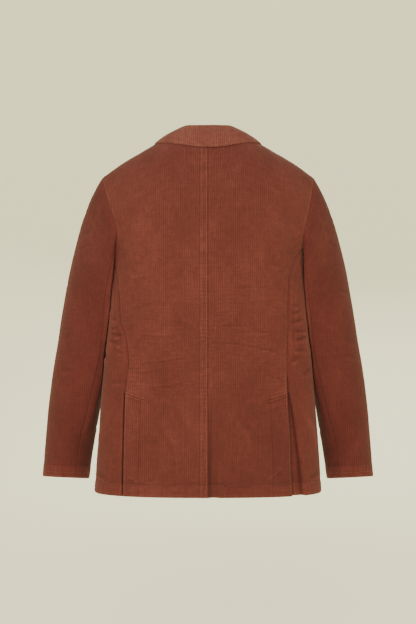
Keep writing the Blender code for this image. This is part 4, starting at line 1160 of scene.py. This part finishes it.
def on_sleeve(s, points, v, rounded, seam):
    left, z = rounded[3], points[:, 2]
    head = under(v, 0.16, 0.05) * over(v, 0.01, 0.03)
    easing = np.sin(s / 0.0036 + 2.0 * np.sin(v / 0.009)) * np.sin(v / 0.0041 + 1.7 * np.sin(s / 0.011))
    relief = stitched(left - CUFF_ROW, s, 8.4) + 0.0005 * under(left, 0.028, 0.003)
    relief += 0.0007 * wavy(s, 9.1) * line(v - 0.010, 0.010) + 0.0005 * head * easing
    # The cuff band is lighter as wear, and a line along the sleeve head is lighter.
    wear = 0.26 * under(left, 0.028, 0.003) + 0.15 * head * line(s - 0.060, 0.020)
    beside_body = under(np.abs(points[:, 0]), 0.219, 0.012) * over(z, -0.460, 0.030)
    beside_body = beside_body * under(z, -0.225, 0.030) * (points[:, 1] < 0.0)
    # Painted shade: a line above the cuff band, the whole sleeve a little darker and its upper part more so.
    # Painted light near the armhole and beside the body; lighter near the cuff.
    dark = 0.30 * line(left - 0.0295, 0.0016) + 0.05 + 0.06 * over(z, -0.32, 0.16)
    dark -= 0.34 * under(v, 0.040, 0.036) + 0.16 * beside_body + 0.14 * under(left, 0.034, 0.012)
    return relief, wear, dark


def on_collar(s, points, v, rounded, seam):
    relief = stitched(rounded[3] - 0.0065, s, 2.2, 0.0003)
    # A painted highlight over the collar's roll, less rub at the fall's edge, and a painted shade line beside
    # the topstitching.
    wear = 0.22 * line(v - 0.043, 0.012) - 0.20 * line(rounded[3] - 0.0015, 0.0030)
    return relief, wear, 0.12 * line(rounded[3] - 0.0075, 0.0012)


def on_lapel(s, points, v, rounded, seam):
    relief = stitched(rounded[1] - TOPSTITCH, v, 3.7, 0.0002)
    relief = relief + stitched(rounded[3] - TOPSTITCH, s, 4.4, 0.0002)
    return relief, 0.25 * line(rounded[1] - 0.002, 0.003), np.zeros(s.shape)


# ---------------------------------------------------------------- stitches
THREAD = 0.00027
STITCH_LENGTH = 0.0027
STITCH_STEP = 0.0036
STITCH_RINGS = (                                      # along the stitch, radius, lift
    (-0.5, 0.5, -0.9), (-0.30, 1.0, 0.9), (0.30, 1.0, 0.9), (0.5, 0.5, -0.9))


def ring_faces(start, rings, sides):
    """Quads between rings of points that follow one another."""
    faces = []
    for ring in range(rings - 1):
        for k in range(sides):
            a, b = start + ring * sides + k, start + ring * sides + (k + 1) % sides
            faces.append((a, b, b + sides, a + sides))
    return faces


def stitches(name, lines):
    """Short thread stitches along lines of (point, normal) pairs, as one piece."""
    points, faces = [], []
    for pairs in lines:
        place, normal = (np.array([pair[k] for pair in pairs]) for k in (0, 1))
        arc = arc_length(place)
        count = int(arc[-1] / STITCH_STEP)
        for k in range(count):
            spot = (k + 0.5) * arc[-1] / count
            back, ahead = (sample(spot + h, arc, place) for h in (-0.001, 0.001))
            n, way, centre = unit(sample(spot, arc, normal)), unit(ahead - back), (back + ahead) / 2
            flat = np.cross(n, way)
            start = len(points)
            for t, r, lift in STITCH_RINGS:
                middle = centre + way * t * STITCH_LENGTH + n * lift * THREAD * 1.6
                for a in (0.25 * math.pi, 0.75 * math.pi, 1.25 * math.pi, 1.75 * math.pi):
                    points.append(middle + (flat * math.cos(a) + n * math.sin(a)) * THREAD * r)
            faces += ring_faces(start, 4, 4)
            faces.append((start, start + 3, start + 2, start + 1))
            faces.append((start + 12, start + 13, start + 14, start + 15))
    return add_piece(name, np.array(points), faces)


# ---------------------------------------------------------------- buttons
BUTTON_RINGS = (                                      # radii in mm, on the face
    0.0, 0.5, 1.0, 1.5, 2.0, 2.4, 2.8, 3.2, 3.7, 4.3, 5.0, 5.8, 6.4, 6.9, 7.4, 8.0, 8.7, 9.2, 9.6, 9.9, 10.0)
BUTTON_UNDERSIDE = ((9.9, 0.35), (9.4, 0.10), (8.6, 0.0), (0.0, 0.0))    # radii, shares of the thickness
BUTTON_SIDES = 72
HOLE = 2.1                  # mm from the button's middle, both ways
HOLE_THREAD, BAR_THREAD = 0.00022, 0.00028          # radii
BUTTONHOLE = (0.0096, 0.0145)                       # distances of its bar's ends from the button's middle


def dished_button(z):
    """A four-hole button: a rounded rim, a dished middle and four holes, sewn with crossed thread."""
    y = float(body_y(0.0, z, 1))
    n = body_normal(0.0, y, z)
    centre, right = np.array([0.0, y, z]) + n * 0.0005, np.array([1.0, 0.0, 0.0])
    up = np.cross(n, right)
    turns = [2 * math.pi * k / BUTTON_SIDES for k in range(BUTTON_SIDES)]

    def top(r, a):
        rim, brink = (float(over(r / 10.0, place, 0.14)) for place in (0.60, 0.86))
        level = 0.66 + 0.34 * rim - 0.30 * brink**2
        x, z = r * math.cos(a), r * math.sin(a)
        hole = min(math.hypot(x - HOLE * i, z - HOLE * j) for i in (-1, 1) for j in (-1, 1))
        return BUTTON_THICK * level - 0.0016 * (1.0 - float(over(hole, 0.75, 0.35)))

    points = [(r * 0.001, a, top(r, a)) for r in BUTTON_RINGS for a in turns]
    points += [(r * 0.001, a, BUTTON_THICK * h) for r, h in BUTTON_UNDERSIDE for a in turns]
    rings = len(BUTTON_RINGS) + len(BUTTON_UNDERSIDE)
    faces = [(a, d, c, b) for a, b, c, d in ring_faces(0, rings, BUTTON_SIDES)]
    placed = [centre + right * r * math.cos(a) + up * r * math.sin(a) + n * h for r, a, h in points]
    thread = []
    for i in (-1, 1):
        for shift in (-0.00035, 0.0, 0.00035):
            for lean in (-1, 1):
                side = (up if lean * i > 0 else right) * shift
                thread.append(np.array([
                    centre + right * (0.0021 * t) + up * (0.0021 * t * lean) + side
                    + n * (BUTTON_THICK * 0.66 + 0.0004 - 0.0016 * t**6 + 0.0002 * (i > 0))
                    for t in np.linspace(-1.0, 1.0, 9)
                ]))
    return placed, faces, thread, n, up


def tube(points, faces, path, radius, sides=6):
    start, last = len(points), len(path) - 1
    for k in range(last + 1):
        way = unit(path[min(k + 1, last)] - path[max(k - 1, 0)])
        side = unit(np.cross(way, [0.0, 0.0, 1.0] if abs(way[2]) < 0.9 else [1.0, 0.0, 0.0]))
        other = np.cross(way, side)
        for a in np.arange(sides) * (2 * math.pi / sides):
            points.append(path[k] + radius * (side * math.cos(a) + other * math.sin(a)))
    faces += ring_faces(start, last + 1, sides)
    faces.append(tuple(start + j for j in reversed(range(sides))))
    faces.append(tuple(start + last * sides + j for j in range(sides)))


# ---------------------------------------------------------------- finishes
class Finish:
    """A material with short calls for its nodes."""

    def __init__(self, name, roughness, sheen=0.0, tint=(1.0, 1.0, 1.0), sheen_roughness=0.5):
        self.material = bpy.data.materials.new(name)
        self.material.use_nodes = True
        self.tree = self.material.node_tree
        self.shader = self.tree.nodes["Principled BSDF"]
        self.shader.inputs["Roughness"].default_value = roughness
        self.shader.inputs["Sheen Weight"].default_value = sheen
        self.shader.inputs["Sheen Roughness"].default_value = sheen_roughness
        self.shader.inputs["Sheen Tint"].default_value = (*tint, 1.0)

    def put(self, kind, values=(), **settings):
        made = self.tree.nodes.new("ShaderNode" + kind)
        for key, value in settings.items():
            setattr(made, key, value)
        for socket, value in zip(made.inputs, values):
            self.feed(socket, value)
        return made

    def feed(self, socket, value):
        """Link the value to the socket if it is another node's output, else set it."""
        if isinstance(value, bpy.types.NodeSocket):
            self.tree.links.new(value, socket)
        else:
            socket.default_value = value

    def math(self, operation, a, b=0.0, c=0.0):
        return self.put("Math", (a, b, c), operation=operation).outputs[0]

    def vary(self, tone, field, share, rest):
        return self.math("MULTIPLY", tone, self.math("MULTIPLY_ADD", field, share, rest))

    def attribute(self, name, output):
        return self.put("Attribute", attribute_name=name, attribute_type="GEOMETRY").outputs[output]

    def stretched(self, vector, scale):
        return self.put("VectorMath", (vector, scale), operation="MULTIPLY").outputs[0]

    def noise(self, vector, scale, detail=2.0):
        made = self.put("TexNoise")
        for key, value in (("Vector", self.stretched(vector, scale)), ("Scale", 1.0), ("Detail", detail)):
            self.feed(made.inputs[key], value)
        return made.outputs[0]

    def blend(self, share, a, b, mode="MIX"):
        made = self.put("Mix", data_type="RGBA", blend_type=mode)
        for k, value in ((0, share), (6, a), (7, b)):
            self.feed(made.inputs[k], (*value, 1.0) if isinstance(value, tuple) else value)
        return made.outputs[2]

    def finish(self, colour, height=None, bump=0.2, distance=0.0002):
        self.feed(self.shader.inputs["Base Color"], colour)
        if height is not None:
            made = self.put("Bump")
            for key, value in (("Strength", bump), ("Distance", distance), ("Height", height)):
                self.feed(made.inputs[key], value)
            self.feed(self.shader.inputs["Normal"], made.outputs[0])
        return self.material


# Patches, blots, and cross wrinkles painted as bands of light and shade: scale, detail, share of the noise and
# the rest.
CLOTH_VARIES = (
    ((60.0, 95.0, 1.0), 4.0, 0.50, 0.75),
    ((230.0, 260.0, 1.0), 3.0, 0.66, 0.67),
    ((38.0, 330.0, 1.0), 3.0, 0.30, 0.85),
)


def corduroy(name, ridge_tone, groove_tone, worn_and_lit_tone):
    """Cotton corduroy: grooves darkened as painted shade, napped ribs, lint, broad fading, and a plain wrong
    side, with the panels' painted highlights and painted shade laid on through the wear attribute.
    """
    f = Finish(name, 0.95, 0.07, (1.0, 0.62, 0.50), 0.45)
    cloth = f.attribute("cloth", "Vector")
    parts = f.put("SeparateXYZ", (cloth,)).outputs
    # The wear attribute carries wear with painted highlights, then painted shade, then the wrong side's mask.
    wear, ditch, inside = f.put("SeparateXYZ", (f.attribute("wear", "Vector"),)).outputs[:3]
    flat = f.put("CombineXYZ", (parts[0], parts[1], 0.0)).outputs[0]
    fibre = f.noise(flat, (1900.0, 520.0, 1.0), 3.0)
    streak = f.noise(flat, (233.0, 38.0, 1.0), 2.0)
    broad = f.noise(flat, (13.0, 7.0, 1.0), 3.0)
    rib = f.math("SMOOTH_MIN", f.math("POWER", parts[2], 1.3), 1.0, 0.1)
    # The grooves take the darker tone, as painted shade.
    colour = f.blend(rib, groove_tone, ridge_tone)
    tone = f.math("MULTIPLY_ADD", fibre, 0.55, 0.725)
    tone = f.vary(tone, streak, 0.36, 0.82)
    tone = f.vary(tone, broad, 0.60, 0.70)
    # Rubbed nap and painted highlights both blend toward the worn tone.
    rubbed_and_lit = f.math("MULTIPLY", wear, f.math("MULTIPLY_ADD", streak, 0.9, 0.25))
    colour = f.blend(f.math("MINIMUM", f.math("MULTIPLY", rubbed_and_lit, 0.9), 0.85), colour, worn_and_lit_tone)
    woven = f.put("TexWave", wave_type="BANDS", bands_direction="DIAGONAL")
    f.feed(woven.inputs["Vector"], f.stretched(flat, (2400.0, 2400.0, 1.0)))
    f.feed(woven.inputs["Scale"], 0.35)
    reverse = f.blend(woven.outputs[1], *(tuple(share * c for c in ridge_tone) for share in (0.62, 0.92)))
    colour = f.blend(inside, colour, reverse)
    # Painted shade darkens the tone; below zero it lightens it as painted light.
    tone = f.vary(tone, ditch, -0.72, 1.0)
    for scale, detail, share, rest in CLOTH_VARIES:
        tone = f.vary(tone, f.noise(flat, scale, detail), share, rest)
    hue = f.noise(flat, (75.0, 55.0, 4.0), 4.0)
    hue = f.put("MapRange", (hue, 0.35, 0.65, 0.0, 1.0)).outputs[0]
    colour = f.blend(1.0, colour, f.blend(hue, (1.0, 0.97, 0.97), (1.0, 1.03, 1.04)), "MULTIPLY")
    deep = f.put("CombineXYZ", tuple(f.math("POWER", tone, k) for k in (0.85, 1.6, 1.9))).outputs[0]
    colour = f.put("VectorMath", (colour, deep), operation="MULTIPLY").outputs[0]
    return f.finish(colour, fibre, 0.5, 0.00025)


def thread_finish():
    f = Finish("cotton_thread", 0.7, 0.15)
    twist = f.noise(f.put("TexCoord").outputs["Object"], (2600.0, 2600.0, 2600.0), 2.0)
    return f.finish(f.blend(twist, (0.080, 0.022, 0.013), (0.200, 0.062, 0.036)), twist, 0.4, 0.0001)


def horn_finish():
    f = Finish("horn", 0.36)
    f.shader.inputs["Coat Weight"].default_value = 0.12
    f.shader.inputs["Coat Roughness"].default_value = 0.2
    place = f.put("TexCoord").outputs["Object"]
    cloud = f.noise(place, (160.0, 160.0, 420.0), 3.0)
    speck = f.noise(place, (1500.0, 1500.0, 1500.0), 2.0)
    colour = f.blend(cloud, (0.018, 0.0080, 0.0045), (0.068, 0.028, 0.015))
    colour = f.blend(f.math("MULTIPLY", speck, 0.30), colour, (0.080, 0.034, 0.019))
    return f.finish(colour, speck, 0.08, 0.0002)


# Tones of the ribs, the grooves and the worn places. The grooves' darker tone is painted shade, and the worn
# tone also serves the painted highlights.
body_cloth = corduroy(
    "corduroy_body", (0.102, 0.0159, 0.0109), (0.076, 0.0099, 0.0071), (0.190, 0.045, 0.034))
# The sleeves' cloth is a darker, redder copy of the body's, as painted shade.
shaded_sleeve_cloth = corduroy(
    "corduroy_sleeve", (0.082, 0.0084, 0.0060), (0.060, 0.0053, 0.0040), (0.146, 0.027, 0.021))
# The side panels' cloth is a slightly darker, redder copy of the body's, as painted shade.
shaded_side_cloth = corduroy(
    "corduroy_side_shaded", (0.100, 0.0138, 0.0096), (0.0745, 0.0085, 0.0062), (0.187, 0.0405, 0.0302))
collar_cloth = corduroy(
    "corduroy_collar", (0.140, 0.0335, 0.0262), (0.099, 0.0212, 0.0168), (0.222, 0.070, 0.053))
cotton = thread_finish()
horn = horn_finish()


def dress(panel, finish, lines):
    """A woven piece stands for its solid, and its stitching rides on it."""
    piece = panel.piece
    name = piece.name.removeprefix("cloth_")
    piece.data.materials.append(finish)
    stitching = stitches("stitching_" + name, lines)
    stitching.data.materials.append(cotton)
    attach(stitching, "root")
    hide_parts(name)
    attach(piece, "root")


def body_panels(side):
    vent = VENT_TOP - HEM_Z
    edges = (SEAM, SEAM, FREE, SEAM)
    back = weave("cloth_back_" + side, back_rows(side), WALL, edges, (0, -1, 0), partial(on_back, side))
    lines = [back.across_line(HEM), back.along_line(0.0035, 0.004, vent, last=True)]
    if side == "left":
        lines += [back.along_line(inset, 0.004, back.along[-1] - 0.004) for inset in STRIP_STITCHES]
    inset, v = np.linspace((0.003, vent - 0.001), (VENT_BAR_END[side], vent - 0.016), 20).T
    lines.append([back.place(back.end(v_at, True) - d, v_at) for d, v_at in zip(inset, v)])
    dress(back, body_cloth, lines)

    edges = (SEAM, SOFT_SEAM, FREE, SEAM)
    out = (SIDES[side], 0, 0)
    flank = weave("cloth_side_" + side, side_rows(side), WALL, edges, out, partial(on_side, side))
    dress(flank, shaded_side_cloth, [flank.across_line(HEM)])

    edges = (FREE, SEAM, FREE, SEAM)
    front = weave("cloth_front_" + side, front_rows(side), WALL, edges, (0, 1, 0), on_front)
    lines = [front.across_line(HEM, 0.008), front.along_line(TOPSTITCH, 0.006, BREAK_Z - HEM_Z)]
    dress(front, body_cloth, lines)


def sleeve_panels(side):
    edges = (SOFT_SEAM, SOFT_SEAM, SOFT_SEAM, FREE)
    for part, out in (("top", SIDES[side]), ("under", -SIDES[side])):
        name = "cloth_sleeve_" + part + "_" + side
        sleeve = weave(name, sleeve_rows(side, part), WALL, edges, (out, 0, 0), on_sleeve)
        dress(sleeve, shaded_sleeve_cloth, [sleeve.across_line(sleeve.along[-1] - CUFF_ROW)])


def collar_and_lapels():
    collar = weave("cloth_collar", collar_rows(), COLLAR_WALL, (FREE, FREE, SEAM, FREE), (0, 0, 1), on_collar)
    dress(collar, collar_cloth, [collar.across_line(collar.along[-1] - TOPSTITCH, 0.008, 160)])
    for side in SIDES:
        name = "cloth_lapel_" + side
        lapel = weave(name, lapel_rows(side), LAPEL_WALL, (FREE, FREE, FREE, FREE), (0, 1, 0), on_lapel)
        top = lapel.along[-1] - TOPSTITCH
        lines = [lapel.along_line(TOPSTITCH, 0.02, top, last=True), lapel.across_line(top, 0.012)]
        dress(lapel, body_cloth, lines)


def front_buttons():
    for name, z in BUTTON_HEIGHTS.items():
        placed, faces, thread, n, up = dished_button(z)
        turned = add_piece("horn_" + name, np.array(placed), faces)
        turned.data.materials.append(horn)
        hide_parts(name)
        points, quads = [], []
        for path in thread:
            tube(points, quads, path, HOLE_THREAD)
        for rung in np.linspace(*BUTTONHOLE, 10):         # the buttonhole's bar of thread
            for rise in (-0.0011, 0.0011):
                spot = np.array([-rung, float(body_y(-rung, z, 1)), z]) + n * 0.0007 + up * rise
                bar = np.array([spot - up * 0.0010, spot + n * 0.0003, spot + up * 0.0010])
                tube(points, quads, bar, BAR_THREAD)
        sewn = add_piece("thread_" + name, np.array(points), quads)
        sewn.data.materials.append(cotton)
        for piece in (turned, sewn):
            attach(piece, "root")


for side in SIDES:
    body_panels(side)
    sleeve_panels(side)
collar_and_lapels()
front_buttons()

# ---------------------------------------------------------------- the studio
FLOOR_Z = -1.15
BOWL_SIDES = 96


def studio_bowl():
    """A pale floor that curves up far away into a pale wall, all round. The profile is radius and height."""
    bend = np.linspace(0.1, math.pi / 2, 14)
    profile = [(1.5, 0.0), (3.2, 0.0)]
    profile += [(3.2 + 3.8 * math.sin(a), 3.8 * (1.0 - math.cos(a))) for a in bend]
    profile += [(7.0, 6.0), (7.0, 8.5)]
    turns = np.linspace(0, 2 * math.pi, BOWL_SIDES + 1)[:-1]
    points = [(r * math.cos(a), r * math.sin(a), FLOOR_Z + h) for r, h in profile for a in turns]
    faces = [(b, a, d, c) for a, b, c, d in ring_faces(0, len(profile), BOWL_SIDES)]
    faces += [(len(points), k, (k + 1) % BOWL_SIDES) for k in range(BOWL_SIDES)]
    bowl = add_piece("studio_floor", np.array([*points, (0.0, 0.0, FLOOR_Z)]), faces)
    finish = Finish("studio_paint", 0.9)
    finish.shader.inputs["Emission Color"].default_value = (0.690, 0.671, 0.416, 1.0)
    finish.shader.inputs["Emission Strength"].default_value = 1.04
    shade = finish.noise(finish.put("TexCoord").outputs["Object"], (0.6, 0.6, 0.6), 2.0)
    paint = finish.blend(shade, (0.530, 0.505, 0.385), (0.545, 0.519, 0.396))
    bowl.data.materials.append(finish.finish(paint))


def lamp(name, place, size, power, aim=(0.0, 0.0, -0.35)):
    light = bpy.data.lights.new(name, "AREA")
    light.shape, light.size, light.energy = "SQUARE", size, power
    made = bpy.data.objects.new(name, light)
    made.location = place
    made.rotation_euler = (Vector(aim) - Vector(place)).to_track_quat("-Z", "Y").to_euler()
    made.visible_camera = False
    bpy.context.scene.collection.objects.link(made)


studio_bowl()
lamp("lamp_camera_side", (-0.7, -4.6, 1.6), 2.4, 185.0)
lamp("lamp_far_side", (0.7, 4.6, 2.0), 2.4, 150.0)

world = bpy.data.worlds.new("studio_air")
world.use_nodes = True
world.node_tree.nodes["Background"].inputs[0].default_value = (1.0, 0.985, 0.94, 1.0)
world.node_tree.nodes["Background"].inputs[1].default_value = 0.5
bpy.context.scene.world = world

lens = bpy.data.cameras.new("camera")
lens.sensor_width = 36.0
lens.lens = 70.75
lens.clip_end = 50.0
camera = bpy.data.objects.new("camera", lens)
camera.location = (0.0, -2.6, -0.345)
camera.rotation_euler = (math.pi / 2, 0.0, 0.0)
bpy.context.scene.collection.objects.link(camera)
bpy.context.scene.camera = camera

bpy.context.view_layer.update()
